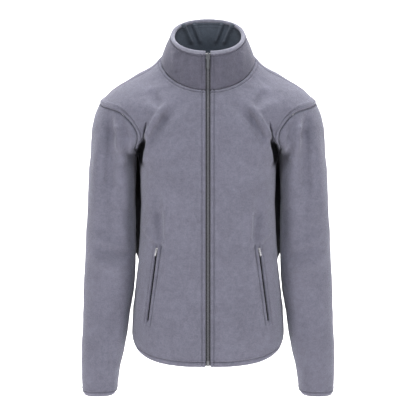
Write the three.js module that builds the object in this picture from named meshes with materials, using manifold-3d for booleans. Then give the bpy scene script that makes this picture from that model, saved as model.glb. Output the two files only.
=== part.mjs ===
// Fleece zip jacket: stand collar, set-in sleeves, two slanted zip pockets.
// Millimetres, +Z up, the front faces -Y and the wearer's left is +X.
// The origin is at the neck, on the level of the shoulder seams' inner ends.
import * as THREE from "three";
import Module from "manifold-3d";

const manifoldModule = await Module();
manifoldModule.setup();
const { Manifold, Mesh: ManifoldMesh } = manifoldModule;

// Driving sizes
const clothWall = 2.2;
const seamGap = 0.35;
const frontEdgeX = 5.5;
const collarLayerDepth = clothWall + 1.6;

// Hem, shoulder and neck levels, read at the side seam and the shoulder seam
const hemHeight = -634;
const underarmHeight = -197;
const shoulderTipHeight = -95;
const neckHeight = 0;

// Level rings of the body: the centre front, the side and the centre back of each.
// bend is the power of the rounded section, rearFold is the soft fold behind the arm.
const bodyColumns = ["sideZ", "frontY", "frontZ", "sideX", "sideY", "backY", "backZ", "bend", "rearFold"];
const bodyRings = table(bodyColumns, [
  [-634, -114, -668, 167, 22, 114, -654, 2.9, 0],
  [-606, -115, -640, 173, 22, 114, -628, 2.9, 0],
  [-545, -113, -560, 168, 22, 110, -560, 2.9, 0],
  [-455, -109, -470, 158, 20, 100, -470, 2.9, 4],
  [-425, -109, -440, 155, 19, 98.8, -437, 2.9, 19],
  [-375, -109, -390, 152, 18, 98, -385, 2.9, 22],
  [-285, -113, -300, 152, 18, 106, -290, 2.9, 24],
  [-240, -115, -258, 152.5, 19, 110, -238, 2.9, 21],
  [-215, -116, -238, 156.5, 20, 112, -210, 2.9, 15],
  [-197, -116, -222, 164, 20, 113, -190, 2.9, 9],
  [-140, -111.5, -166, 196, 20, 113, -130, 2.6, 0],
  [-95, -98.5, -114, 241, 14, 106, -72, 2.3, 0],
  [-76, -95.2, -105, 228, 12, 102, -50, 2.3, 0],
  [-40, -86.6, -87, 170, 8, 90, -22, 2.2, 0],
  [0, -75, -67, 105, 5, 68, 18, 2.2, 0],
]);

// Rings of the collar, from the neck seam (rise 0) to the rim (rise 1).
const collarColumns = ["rise", "frontY", "frontZ", "sideX", "sideY", "sideZ", "backY", "backZ", "bend"];
const collarRings = table(collarColumns, [
  [0, -75, -67, 105, 5, 0, 68, 18, 2.2],
  [0.35, -72, -38, 97, 6, 22, 71, 46, 2.2],
  [0.7, -68, -9, 87.5, 7, 42, 72, 72, 2.2],
  [1, -65, 16, 80, 8, 58, 70, 95, 2.2],
]);

// The armhole seam from the underarm (share 0) to the shoulder tip (share 1).
// The turns are degrees round the ring from the centre front and from the centre back.
const armholeSeam = table(["share", "frontTurn", "backTurn"], [
  [0, 90, 90],
  [0.1, 76, 81],
  [0.25, 61.5, 72],
  [0.35, 53, 67.5],
  [0.44, 48.6, 64.5],
  [0.54, 46.6, 63],
  [0.64, 46.4, 63],
  [0.75, 48, 64.5],
  [0.83, 52, 67.5],
  [0.91, 62, 74],
  [1, 90, 90],
]);

// How the sleeve leaves the armhole seam: out to the side, away from the middle of the arm
// and down, with the length of that start.
const sleeveHead = table(["share", "outward", "away", "drop", "length"], [
  [0, 0, 0, 1, 12],
  [0.25, 0.3, 0.1, 0.95, 26],
  [0.5, 0.8, 0.25, 0.55, 70],
  [0.75, 0.75, 0.2, 0.63, 95],
  [1, 0.6, 0, 0.8, 110],
]);

// Level sections of the hanging sleeve, from the upper arm to the cuff.
const sleeveSections = table(["level", "innerX", "outerX", "middleY", "halfDepth"], [
  [-747, 206.5, 287.5, -32, 42],
  [-720, 202, 287, -30, 43],
  [-680, 196, 286, -26, 46],
  [-640, 188, 284, -21, 49],
  [-600, 180.5, 282.8, -15, 52],
  [-560, 175.5, 281.5, -9, 54.5],
  [-520, 168.5, 280, -4, 57],
  [-480, 165, 278, 0, 59],
  [-440, 163.5, 275.6, 4, 60.5],
  [-400, 163.5, 274, 8, 62],
  [-330, 163, 270.5, 11, 65],
  [-260, 161, 267, 12, 69],
  [-215, 160.8, 263.5, 12, 72],
]);
const sleeveTopLevel = -215;
const cuffLevel = -747;
const sleeveBend = 2.4;

// Soft folds: a line from (x1, z1) to (x2, z2) seen from the front, its half width and
// its height, which is negative for a trough. face is 1 for the front and -1 for the back.
const bodyFolds = table(["face", "x1", "z1", "x2", "z2", "width", "height"], [
  [1, 140, -158, 142, -190, 7, -6],
  [1, 138, -187, 97, -110, 9, 3.5],
  [1, 128, -176, 82, -122, 9, -3],
  [1, 115, -108, 115, -112, 13, 3],
  [1, 128, -88, 118, -94, 12, -2.5],
  [1, 110, -300, 106, -400, 13, -4],
  [1, 126, -290, 124, -380, 11, 2.5],
  [1, 92, -300, 90, -390, 13, 2],
  [-1, 120, -150, 92, -215, 15, -4],
  [-1, 100, -300, 60, -345, 18, -3.5],
  [-1, 96, -350, 40, -385, 17, 3],
  [-1, 70, -400, 20, -420, 18, -3],
]);
const sleeveFolds = table(["face", "x1", "z1", "x2", "z2", "width", "height"], [
  [1, 203, -110, 196, -190, 8, 3.5],
  [1, 196, -190, 184, -400, 11, 3],
  [1, 214, -112, 211, -260, 10, -4],
  [1, 211, -260, 214, -420, 13, -2.5],
  [1, 182, -145, 180, -178, 7, -3],
  [1, 232, -370, 192, -400, 15, -3],
  [1, 250, -440, 205, -455, 17, 2.5],
  [-1, 205, -150, 200, -280, 13, -4],
  [-1, 232, -390, 190, -372, 15, -4],
  [-1, 238, -432, 192, -420, 15, 3.5],
  [-1, 240, -475, 200, -462, 16, -3],
]);
const rearFoldCentre = -0.5;
const rearFoldSpread = 0.21;
const foldFreeX = 8;
const foldFullX = 34;

// Front zip, sizes across the tape and depths below the face of the cloth
const zipTapeX = { inner: 3.5, outer: 16 };
const zipTapeDepth = { face: 2.6, rear: 3.3 };
const zipChainHalf = 3;
const zipChainDepth = { face: 0.7, rear: 2.9 };
const zipBoxDepth = { face: -0.6, rear: 3.1 };
const zipBoxLength = 12;
const zipEndAboveHem = 3;
const zipSliderRise = 0.87;

// Pocket zips: the slanted line on the front panel and the layers across it
const pocketTop = { x: 111, z: -408 };
const pocketFoot = { x: 133, z: -575 };
const pocketSlotHalf = 3.4;
const pocketTapeHalf = 10;
const pocketTapeDepth = { face: 2.6, rear: 3.3 };
const pocketChainHalf = 2.4;
const pocketChainDepth = { face: 0.4, rear: 1.9 };
const pocketBlockReach = 8;

// Sliders and their pulls. The bar is the cross piece that the pull swings on.
const frontSliderSizes = {
  halfWidth: 4.4, halfLength: 6, plate: 1.6, archHalfWidth: 1, archHalfLength: 3.6, archHeight: 3.8,
  archBar: 1.1, pullHalfWidth: 2.9, eyeHalfWidth: 1.6, eyeLength: 6, pullLength: 28, pullThickness: 1.2,
  tipHole: 1.1,
};
const pocketSliderSizes = {
  halfWidth: 2.9, halfLength: 4.2, plate: 1.2, archHalfWidth: 0.7, archHalfLength: 2.6, archHeight: 2.9,
  archBar: 0.8, pullHalfWidth: 2.1, eyeHalfWidth: 1.15, eyeLength: 4.4, pullLength: 15, pullThickness: 0.9,
  tipHole: 0.7,
};
const barHeightShare = 0.42;
const sliderClearance = 0.4;

// Grid counts
const frontColumns = 12;
const backColumns = 24;
const armholeRows = 12;
const armholeSpacing = 1.25;
const lowerRows = 18;
const yokeHeights = [-84, -66, -40, -18];
const collarSteps = 36;
const collarRows = 4;
const headRows = 4;
const sleeveRows = 16;
const pocketRows = 10;
const step = 1e-3;
const degree = Math.PI / 180;

// Rows of a table as objects, a value for each named column
function table(columns, rows) {
  return rows.map((row) => Object.fromEntries(columns.map((name, i) => [name, row[i]])));
}

function clamp(value, low, high) {
  return Math.min(Math.max(value, low), high);
}

function smoothStep(value, low, high) {
  const share = clamp((value - low) / (high - low), 0, 1);
  return share * share * (3 - 2 * share);
}

// Slopes of a monotone cubic curve through the rows of a table, so no value overshoots.
function curveSlopes(rows, key, column) {
  const steps = [];
  for (let i = 0; i + 1 < rows.length; i += 1) {
    steps.push((rows[i + 1][column] - rows[i][column]) / (rows[i + 1][key] - rows[i][key]));
  }
  const slopes = [steps[0]];
  for (let i = 1; i < steps.length; i += 1) {
    const before = rows[i][key] - rows[i - 1][key];
    const after = rows[i + 1][key] - rows[i][key];
    const turns = steps[i - 1] * steps[i] <= 0;
    const heavy = 2 * after + before;
    const light = after + 2 * before;
    slopes.push(turns ? 0 : (heavy + light) / (heavy / steps[i - 1] + light / steps[i]));
  }
  slopes.push(steps[steps.length - 1]);
  return slopes;
}

// One smooth function for each column of a table, read at a value of the key column.
function tableCurves(rows, key) {
  const columns = Object.keys(rows[0]).filter((name) => name !== key);
  const slopes = Object.fromEntries(columns.map((name) => [name, curveSlopes(rows, key, name)]));
  return (value) => {
    let i = 0;
    while (i + 2 < rows.length && value > rows[i + 1][key]) {
      i += 1;
    }
    const span = rows[i + 1][key] - rows[i][key];
    const t = clamp((value - rows[i][key]) / span, 0, 1);
    const result = { [key]: value };
    for (const name of columns) {
      const start = (2 * t ** 3 - 3 * t ** 2 + 1) * rows[i][name];
      const leave = (t ** 3 - 2 * t ** 2 + t) * span * slopes[name][i];
      const finish = (3 * t ** 2 - 2 * t ** 3) * rows[i + 1][name];
      const arrive = (t ** 3 - t ** 2) * span * slopes[name][i + 1];
      result[name] = start + leave + finish + arrive;
    }
    return result;
  };
}

const bodyRingAt = tableCurves(bodyRings, "sideZ");
const collarRingAt = tableCurves(collarRings, "rise");
const armholeAt = tableCurves(armholeSeam, "share");
const sleeveHeadAt = tableCurves(sleeveHead, "share");
const sleeveSectionAt = tableCurves(sleeveSections, "level");

// Point of a ring at a turn in radians from the centre front, +X at a quarter turn.
// The section is a rounded square; its level follows the front, side and back of the ring.
function ringPoint(ring, turn) {
  const sine = Math.sin(turn);
  const cosine = Math.cos(turn);
  const reach = (Math.abs(sine) ** ring.bend + Math.abs(cosine) ** ring.bend) ** (-1 / ring.bend);
  const forward = cosine * reach;
  const halfDepth = forward > 0 ? ring.sideY - ring.frontY : ring.backY - ring.sideY;
  const tilt = (ring.frontZ - ring.backZ) / 2;
  const sag = (ring.frontZ + ring.backZ) / 2 - ring.sideZ;
  return {
    forward,
    point: new THREE.Vector3(
      ring.sideX * sine * reach,
      ring.sideY - halfDepth * forward,
      ring.sideZ + tilt * forward + sag * forward ** 2,
    ),
  };
}

// Turn at which a ring is a given distance from the middle plane.
function turnAtX(ring, x) {
  const share = clamp(x / ring.sideX, 0, 1);
  return Math.atan2(share, (1 - share ** ring.bend) ** (1 / ring.bend));
}

function foldHeight(folds, face, x, z) {
  let height = 0;
  for (const fold of folds.filter((row) => row.face === face)) {
    const alongX = fold.x2 - fold.x1;
    const alongZ = fold.z2 - fold.z1;
    const length = alongX ** 2 + alongZ ** 2;
    const t = clamp(((x - fold.x1) * alongX + (z - fold.z1) * alongZ) / length, 0, 1);
    const offX = x - fold.x1 - t * alongX;
    const offZ = z - fold.z1 - t * alongZ;
    height += fold.height * Math.exp(-(offX ** 2 + offZ ** 2) / fold.width ** 2);
  }
  return height;
}

// Outward unit normal of a surface given as a function of two parameters. The sleeve
// runs the other way round its axis than the body, so its first step is negative.
function surfaceNormal(surface, u, v, uStep, vStep, vLow, vHigh) {
  const across = surface(u + uStep, v).sub(surface(u - uStep, v));
  const along = surface(u, Math.min(v + vStep, vHigh)).sub(surface(u, Math.max(v - vStep, vLow)));
  return across.cross(along).normalize();
}

function plainBody(turn, height) {
  return ringPoint(bodyRingAt(height), turn).point;
}

// Face of the body cloth with its folds, at a turn and a side height.
function bodySurface(turn, height) {
  const ring = bodyRingAt(height);
  const { point, forward } = ringPoint(ring, turn);
  const face = forward > 0 ? 1 : -1;
  const side = Math.abs(point.x);
  const seamFade = smoothStep(Math.abs(forward), 0, 0.3);
  const middleFade = face > 0 ? smoothStep(side, foldFreeX, foldFullX) : 1;
  const folds = foldHeight(bodyFolds, face, side, point.z) * seamFade * middleFade;
  const rear = ring.rearFold * Math.exp(-(((forward - rearFoldCentre) / rearFoldSpread) ** 2));
  const normal = surfaceNormal(plainBody, turn, height, step, 1, hemHeight, neckHeight);
  return point.addScaledVector(normal, folds + rear);
}

function bodyNormal(turn, height) {
  return surfaceNormal(bodySurface, turn, height, 4 * step, 2, hemHeight, neckHeight);
}

function collarSurface(turn, rise) {
  return ringPoint(collarRingAt(rise), turn).point;
}

function collarNormal(turn, rise) {
  return surfaceNormal(collarSurface, turn, rise, step, 0.01, 0, 1);
}

// Point and normal of the armhole seam. around is 0 at the underarm, 0.25 at the front,
// 0.5 at the shoulder tip and 0.75 at the back.
function armholeEdge(around) {
  const inFront = around <= 0.5;
  const share = inFront ? around * 2 : (1 - around) * 2;
  const seam = armholeAt(share);
  const turn = inFront ? seam.frontTurn * degree : Math.PI - seam.backTurn * degree;
  const height = armholeHeight(share);
  return { point: bodySurface(turn, height), normal: bodyNormal(turn, height), turn, height };
}

function armholeHeight(share) {
  const rise = (1 - Math.cos(Math.PI * share)) / 2;
  return underarmHeight + (shoulderTipHeight - underarmHeight) * rise;
}

// Point of a level sleeve section; around runs from the body side over the front.
function sectionPoint(section, around) {
  const angle = around * 2 * Math.PI;
  const sine = Math.sin(angle);
  const cosine = Math.cos(angle);
  const sum = Math.abs(sine) ** sleeveBend + Math.abs(cosine) ** sleeveBend;
  const reach = sum ** (-1 / sleeveBend);
  const middleX = (section.innerX + section.outerX) / 2;
  const halfX = (section.outerX - section.innerX) / 2;
  return new THREE.Vector3(
    middleX - halfX * cosine * reach,
    section.middleY - section.halfDepth * sine * reach,
    section.level,
  );
}

// Sleeve cloth without folds. along runs 0 to 1 down the sleeve head, then 1 to 2 to the cuff.
function plainSleeve(around, along) {
  const wrapped = ((around % 1) + 1) % 1;
  if (along >= 1) {
    const level = sleeveTopLevel + (cuffLevel - sleeveTopLevel) * (along - 1);
    return sectionPoint(sleeveSectionAt(level), wrapped);
  }
  const share = wrapped <= 0.5 ? wrapped * 2 : (1 - wrapped) * 2;
  const awaySign = wrapped <= 0.5 ? -1 : 1;
  const head = sleeveHeadAt(share);
  const edge = armholeEdge(wrapped);
  const leave = new THREE.Vector3(head.outward, head.away * awaySign, -head.drop);
  leave.normalize();
  const start = edge.point.addScaledVector(leave, seamGap).addScaledVector(edge.normal, seamGap);
  const finish = sectionPoint(sleeveSectionAt(sleeveTopLevel), wrapped);
  const t = along;
  const result = start.multiplyScalar(2 * t ** 3 - 3 * t ** 2 + 1);
  result.addScaledVector(leave, head.length * (t ** 3 - 2 * t ** 2 + t));
  result.addScaledVector(finish, 3 * t ** 2 - 2 * t ** 3);
  result.z -= head.length * (t ** 3 - t ** 2);
  return result;
}

function sleeveSurface(around, along) {
  const point = plainSleeve(around, along);
  const wrapped = ((around % 1) + 1) % 1;
  const face = wrapped <= 0.5 ? 1 : -1;
  const sideFade = smoothStep(Math.abs(Math.sin(wrapped * 2 * Math.PI)), 0, 0.5);
  const seamFade = smoothStep(along, 0, 0.4);
  const folds = foldHeight(sleeveFolds, face, point.x, point.z) * sideFade * seamFade;
  const normal = surfaceNormal(plainSleeve, around, along, -step, 0.004, 0, 2);
  return point.addScaledVector(normal, folds);
}

function sleeveNormal(around, along) {
  return surfaceNormal(sleeveSurface, around, along, -4 * step, 0.01, 0, 2);
}

// Closed mesh geometry with faces outward, from corner points and triangles.
function closedGeometry(points, triangles) {
  const first = new THREE.Vector3();
  let volume = 0;
  for (const [a, b, c] of triangles) {
    volume += first.copy(points[b]).cross(points[c]).dot(points[a]);
  }
  const faces = volume > 0 ? triangles : triangles.map(([a, b, c]) => [a, c, b]);
  const geometry = new THREE.BufferGeometry();
  const positions = points.flatMap((point) => [point.x, point.y, point.z]);
  geometry.setAttribute("position", new THREE.Float32BufferAttribute(positions, 3));
  geometry.setIndex(faces.flat());
  geometry.computeVertexNormals();
  return geometry;
}

// Wall between two grids of points, rows of equal length. A round wall joins its
// last column to its first.
function wallGeometry(face, rear, round) {
  const rowCount = face.length;
  const columnCount = face[0].length;
  const points = [...face.flat(), ...rear.flat()];
  const rearStart = rowCount * columnCount;
  const at = (row, column) => row * columnCount + (column % columnCount);
  const triangles = [];
  const quad = (a, b, c, d) => triangles.push([a, b, c], [a, c, d]);
  const lastColumn = round ? columnCount : columnCount - 1;
  for (let row = 0; row + 1 < rowCount; row += 1) {
    for (let column = 0; column < lastColumn; column += 1) {
      const corners = [at(row, column), at(row, column + 1), at(row + 1, column + 1), at(row + 1, column)];
      quad(...corners);
      const [a, b, c, d] = corners.map((index) => index + rearStart);
      triangles.push([a, c, b], [a, d, c]);
    }
  }
  for (let column = 0; column < lastColumn; column += 1) {
    const foot = [at(0, column + 1), at(0, column)];
    const head = [at(rowCount - 1, column), at(rowCount - 1, column + 1)];
    for (const [a, b] of [foot, head]) {
      quad(a, b, b + rearStart, a + rearStart);
    }
  }
  if (!round) {
    for (let row = 0; row + 1 < rowCount; row += 1) {
      const first = [at(row, 0), at(row + 1, 0)];
      const last = [at(row + 1, columnCount - 1), at(row, columnCount - 1)];
      for (const [a, b] of [first, last]) {
        quad(a, b, b + rearStart, a + rearStart);
      }
    }
  }
  return closedGeometry(points, triangles);
}

// Wall of one cloth layer: the grid of surface places and the two depths below the face.
function layerGeometry(places, surface, normalOf, faceDepth, rearDepth, round = false) {
  const offset = (depth) =>
    places.map((row) => row.map(([u, v]) => surface(u, v).addScaledVector(normalOf(u, v), -depth)));
  return wallGeometry(offset(faceDepth), offset(rearDepth), round);
}

function mirrored(geometry) {
  const result = geometry.clone();
  result.scale(-1, 1, 1);
  const index = Array.from(result.index.array);
  for (let i = 0; i < index.length; i += 3) {
    [index[i + 1], index[i + 2]] = [index[i + 2], index[i + 1]];
  }
  result.setIndex(index);
  result.computeVertexNormals();
  return result;
}

function toManifold(geometry) {
  const position = geometry.getAttribute("position");
  return new Manifold(
    new ManifoldMesh({
      numProp: 3,
      vertProperties: new Float32Array(position.array),
      triVerts: new Uint32Array(geometry.index.array),
    }),
  );
}

function fromManifold(solid) {
  const mesh = solid.getMesh();
  const geometry = new THREE.BufferGeometry();
  geometry.setAttribute("position", new THREE.Float32BufferAttribute(mesh.vertProperties, 3));
  geometry.setIndex(Array.from(mesh.triVerts));
  geometry.computeVertexNormals();
  return geometry;
}

// Shares of the armhole seam at the grid rows, closer together towards the shoulder tip.
function armholeShares() {
  const shares = [];
  for (let i = 0; i <= armholeRows; i += 1) {
    shares.push(1 - (1 - i / armholeRows) ** armholeSpacing);
  }
  return shares;
}

// Side heights of the grid rows, from the hem to the neck seam.
function panelHeights() {
  const heights = [];
  for (let i = 0; i < lowerRows; i += 1) {
    heights.push(hemHeight + ((underarmHeight - hemHeight) * i) / lowerRows);
  }
  heights.push(...armholeShares().map(armholeHeight));
  return [...heights, ...yokeHeights, neckHeight];
}

// Turn of the outer edge of a front or back panel at a side height, with its seam gap.
function outerTurn(height, column) {
  const ring = bodyRingAt(height);
  const rise = (height - underarmHeight) / (shoulderTipHeight - underarmHeight);
  const inArmhole = rise > 0 && rise < 1;
  const share = Math.acos(1 - 2 * clamp(rise, 0, 1)) / Math.PI;
  const full = inArmhole ? armholeAt(share)[column] * degree : Math.PI / 2;
  const gapTurn = inArmhole ? 0 : seamGap / (ring.backY - ring.frontY);
  return full - gapTurn;
}

function frontPlaces() {
  return panelHeights().map((height) => {
    const first = turnAtX(bodyRingAt(height), frontEdgeX);
    const last = outerTurn(height, "frontTurn");
    const row = [];
    for (let i = 0; i <= frontColumns; i += 1) {
      row.push([first + ((last - first) * i) / frontColumns, height]);
    }
    return row;
  });
}

function frontLayer(faceDepth, rearDepth) {
  return toManifold(layerGeometry(frontPlaces(), bodySurface, bodyNormal, faceDepth, rearDepth));
}

function backPanel() {
  const places = panelHeights().map((height) => {
    const edge = Math.PI - outerTurn(height, "backTurn");
    const row = [];
    for (let i = 0; i <= backColumns; i += 1) {
      row.push([edge + ((2 * Math.PI - 2 * edge) * i) / backColumns, height]);
    }
    return row;
  });
  return layerGeometry(places, bodySurface, bodyNormal, 0, clothWall);
}

function sleeve() {
  const places = [];
  const frontHalf = armholeShares().map((share) => share / 2);
  const rearHalf = frontHalf.slice(1, -1).reverse().map((around) => 1 - around);
  for (let i = 0; i <= headRows + sleeveRows; i += 1) {
    const along = i <= headRows ? i / headRows : 1 + (i - headRows) / sleeveRows;
    places.push([...frontHalf, ...rearHalf].map((around) => [around, along]));
  }
  return layerGeometry(places, sleeveSurface, sleeveNormal, 0, clothWall, true);
}

// One layer of the collar, from one front edge round the back to the other.
function collarLayer(faceDepth, rearDepth) {
  const places = [];
  const footRise = seamGap / (collarRings[1].sideZ / collarRings[1].rise);
  for (let i = 0; i <= collarRows; i += 1) {
    const rise = footRise + ((1 - footRise) * i) / collarRows;
    const first = turnAtX(collarRingAt(rise), frontEdgeX);
    const row = [];
    for (let column = 0; column <= collarSteps; column += 1) {
      row.push([first + ((2 * Math.PI - 2 * first) * column) / collarSteps, rise]);
    }
    places.push(row);
  }
  return layerGeometry(places, collarSurface, collarNormal, faceDepth, rearDepth);
}

// Stations of the centre front from the hem to the collar rim, each with its own
// surface reader, so that the zip follows the cloth on both.
function centreStations() {
  const stations = [];
  const hemRing = bodyRings[0];
  const startHeight = hemHeight + zipEndAboveHem * (bodyRings[1].sideZ - hemHeight)
    / (bodyRings[1].frontZ - hemRing.frontZ);
  for (const height of [startHeight, ...panelHeights().slice(1, -1)]) {
    const ring = bodyRingAt(height);
    stations.push({ ring, surface: bodySurface, normalOf: bodyNormal, place: height });
  }
  for (let i = 0; i <= collarRows; i += 1) {
    const rise = i / collarRows * (1 - 0.02);
    const ring = collarRingAt(rise);
    stations.push({ ring, surface: collarSurface, normalOf: collarNormal, place: rise });
  }
  return stations;
}

function stationPoint(station, x, depth) {
  const turn = Math.sign(x) * turnAtX(station.ring, Math.abs(x));
  const point = station.surface(turn, station.place);
  return point.addScaledVector(station.normalOf(turn, station.place), -depth);
}

function centreStrip(stations, xValues, depths) {
  const grid = (depth) => stations.map((station) => xValues.map((x) => stationPoint(station, x, depth)));
  return wallGeometry(grid(depths.face), grid(depths.rear), false);
}

// Place on the front cloth that is seen at (x, z): the side height is found by halving.
function frontPlace(x, z) {
  let low = hemHeight;
  let high = shoulderTipHeight;
  let turn = 0;
  for (let i = 0; i < 40; i += 1) {
    const middle = (low + high) / 2;
    const ring = bodyRingAt(middle);
    turn = turnAtX(ring, x);
    if (ringPoint(ring, turn).point.z < z) {
      low = middle;
    } else {
      high = middle;
    }
  }
  return [turn, (low + high) / 2];
}

// Place beside the pocket line: share 0 is its top and 1 its foot, beside is measured outward.
function pocketPlace(share, beside) {
  const x = pocketTop.x + (pocketFoot.x - pocketTop.x) * share;
  const z = pocketTop.z + (pocketFoot.z - pocketTop.z) * share;
  const [turn, height] = frontPlace(x, z);
  const point = bodySurface(turn, height);
  const stretch = bodySurface(turn + step, height).sub(point).length() / step;
  return [turn + beside / stretch, height];
}

// Block along the pocket line that reaches through the cloth.
function pocketBlock(half, startShare, endShare) {
  const places = [];
  for (let i = 0; i <= pocketRows; i += 1) {
    const share = startShare + ((endShare - startShare) * i) / pocketRows;
    places.push([-half, 0, half].map((beside) => pocketPlace(share, beside)));
  }
  return toManifold(layerGeometry(places, bodySurface, bodyNormal, -pocketBlockReach, pocketBlockReach));
}

// A layer of the pocket zip: it follows the front panel's own facets at its depth.
function pocketLayer(half, depths, startShare, endShare) {
  const block = pocketBlock(half, startShare, endShare);
  return fromManifold(frontLayer(depths.face, depths.rear).intersect(block));
}

// Frame on the pocket line: out of the cloth, down the line and across it.
function pocketFrame(share) {
  const [turn, height] = pocketPlace(share, 0);
  const point = bodySurface(turn, height);
  const out = bodyNormal(turn, height);
  const [nextTurn, nextHeight] = pocketPlace(share + 0.02, 0);
  const up = point.clone().sub(bodySurface(nextTurn, nextHeight)).normalize();
  const across = new THREE.Vector3().crossVectors(out.clone().negate(), up).normalize();
  up.crossVectors(across, out.clone().negate()).normalize();
  return new THREE.Matrix4().makeBasis(across, out.clone().negate(), up).setPosition(point);
}

// Slider in its own frame: x across the zip, -y out of the cloth, z up the zip.
function sliderGeometry(sizes, plateRear) {
  const plateShape = Manifold.cube([2 * sizes.halfWidth, sizes.plate, 2 * sizes.halfLength], true);
  const plateY = -plateRear - sizes.plate / 2;
  const plate = plateShape.translate([0, plateY, 0]);
  const archLength = 2 * sizes.archHalfLength;
  const archY = -plateRear - sizes.plate - sizes.archHeight / 2 + 0.05;
  const block = Manifold.cube([2 * sizes.archHalfWidth, sizes.archHeight + 0.1, archLength], true);
  const hollowLength = archLength - 2 * sizes.archBar;
  const hollowHeight = sizes.archHeight - sizes.archBar;
  const hollow = Manifold.cube([4 * sizes.archHalfWidth, hollowHeight, hollowLength], true)
    .translate([0, (sizes.archHeight - hollowHeight) / 2, 0]);
  const arch = block.subtract(hollow).translate([0, archY, 0]);
  return fromManifold(plate.add(arch));
}

// Pull in the frame of its bar: the bar runs along x and the pull hangs down z.
function pullGeometry(sizes) {
  const thick = sizes.pullThickness;
  const bodyLength = sizes.pullLength - sizes.pullHalfWidth;
  const plate = Manifold.cube([2 * sizes.pullHalfWidth, thick, bodyLength], true)
    .translate([0, 0, thick / 2 - bodyLength / 2]);
  const tipZ = thick / 2 - bodyLength;
  const tip = Manifold.cylinder(thick, sizes.pullHalfWidth, sizes.pullHalfWidth, 20, true)
    .rotate([90, 0, 0]).translate([0, 0, tipZ]);
  const eye = Manifold.cube([2 * sizes.eyeHalfWidth, 2 * thick, sizes.eyeLength - thick], true)
    .translate([0, 0, -thick / 2 - (sizes.eyeLength - thick) / 2]);
  const hole = Manifold.cylinder(2 * thick, sizes.tipHole, sizes.tipHole, 12, true)
    .rotate([90, 0, 0]).translate([0, 0, tipZ]);
  return fromManifold(plate.add(tip).subtract(eye).subtract(hole));
}

// The pull's bar lies inside the slider's arch, at this distance out of the cloth.
function barDistance(sizes, plateRear) {
  return plateRear + sizes.plate + (sizes.archHeight - sizes.archBar) * barHeightShare
    + sizes.pullThickness / 4;
}

const materials = {
  body: new THREE.MeshStandardMaterial({ color: "#807e91", roughness: 0.95, metalness: 0 }),
  lining: new THREE.MeshStandardMaterial({ color: "#5f6069", roughness: 0.95, metalness: 0 }),
  tape: new THREE.MeshStandardMaterial({ color: "#6f6d73", roughness: 0.85, metalness: 0 }),
  chain: new THREE.MeshStandardMaterial({ color: "#6a6a68", roughness: 0.55, metalness: 0 }),
  metal: new THREE.MeshStandardMaterial({ color: "#8f8e92", roughness: 0.35, metalness: 1 }),
};

const jacket = new THREE.Group();
jacket.name = "fleece_zip_jacket";

function addMesh(name, geometry, material) {
  const mesh = new THREE.Mesh(geometry, material);
  mesh.name = name;
  jacket.add(mesh);
}

function addPair(name, geometry, material) {
  addMesh(`${name}_left`, geometry, material);
  addMesh(`${name}_right`, mirrored(geometry), material);
}

const slottedFront = fromManifold(frontLayer(0, clothWall).subtract(pocketBlock(pocketSlotHalf, 0, 1)));
addPair("front", slottedFront, materials.body);
addMesh("back", backPanel(), materials.body);
addPair("sleeve", sleeve(), materials.body);
addMesh("collar_outer", collarLayer(0, clothWall), materials.body);
addMesh("collar_inner", collarLayer(collarLayerDepth, collarLayerDepth + clothWall), materials.lining);

const stations = centreStations();
const tapeXs = [zipTapeX.inner, zipTapeX.outer];
addPair("zip_tape", centreStrip(stations, tapeXs, zipTapeDepth), materials.tape);

const hemStation = stations[0];
const boxTopHeight = hemStation.place + zipBoxLength;
const boxTop = { ...hemStation, ring: bodyRingAt(boxTopHeight), place: boxTopHeight };
const chainFootHeight = boxTopHeight + seamGap;
const chainFoot = { ...hemStation, ring: bodyRingAt(chainFootHeight), place: chainFootHeight };
const chainXs = [-zipChainHalf, zipChainHalf];
addMesh("zip_box", centreStrip([hemStation, boxTop], chainXs, zipBoxDepth), materials.metal);
const chainStations = [chainFoot, ...stations.slice(1)];
addMesh("zip_chain", centreStrip(chainStations, chainXs, zipChainDepth), materials.chain);

const sliderRear = sliderClearance - zipChainDepth.face;
const sliderFace = collarSurface(0, zipSliderRise);
const sliderOut = collarNormal(0, zipSliderRise);
const sliderUp = new THREE.Vector3(1, 0, 0).cross(sliderOut.clone().negate());
const sliderFrame = new THREE.Matrix4()
  .makeBasis(new THREE.Vector3(1, 0, 0), sliderOut.clone().negate(), sliderUp)
  .setPosition(sliderFace);
const frontSlider = sliderGeometry(frontSliderSizes, sliderRear).applyMatrix4(sliderFrame);
addMesh("zip_slider", frontSlider, materials.metal);
const frontBar = new THREE.Matrix4().makeTranslation(0, -barDistance(frontSliderSizes, sliderRear), 0);
const frontPull = pullGeometry(frontSliderSizes).applyMatrix4(frontBar).applyMatrix4(sliderFrame);
addMesh("zip_pull", frontPull, materials.metal);

addPair("pocket_tape", pocketLayer(pocketTapeHalf, pocketTapeDepth, -0.03, 1.03), materials.tape);
addPair("pocket_chain", pocketLayer(pocketChainHalf, pocketChainDepth, 0.006, 0.994), materials.chain);
const pocketRear = sliderClearance - pocketChainDepth.face;
const pocketSliderFrame = pocketFrame(0.035);
const pocketSlider = sliderGeometry(pocketSliderSizes, pocketRear).applyMatrix4(pocketSliderFrame);
addPair("pocket_slider", pocketSlider, materials.metal);
const pocketBar = new THREE.Matrix4().makeTranslation(0, -barDistance(pocketSliderSizes, pocketRear), 0);
const pocketPull = pullGeometry(pocketSliderSizes).applyMatrix4(pocketBar).applyMatrix4(pocketSliderFrame);
addPair("pocket_pull", pocketPull, materials.metal);

export default jacket;
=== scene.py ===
"""Fleece zip jacket: the looks of a hollow, worn-form jacket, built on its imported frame.

All shapes are worked out in millimetres and put into the meshes in metres.
The front faces -Y, the wearer's left is +X and +Z is up.
"""

import math
from types import SimpleNamespace

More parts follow.
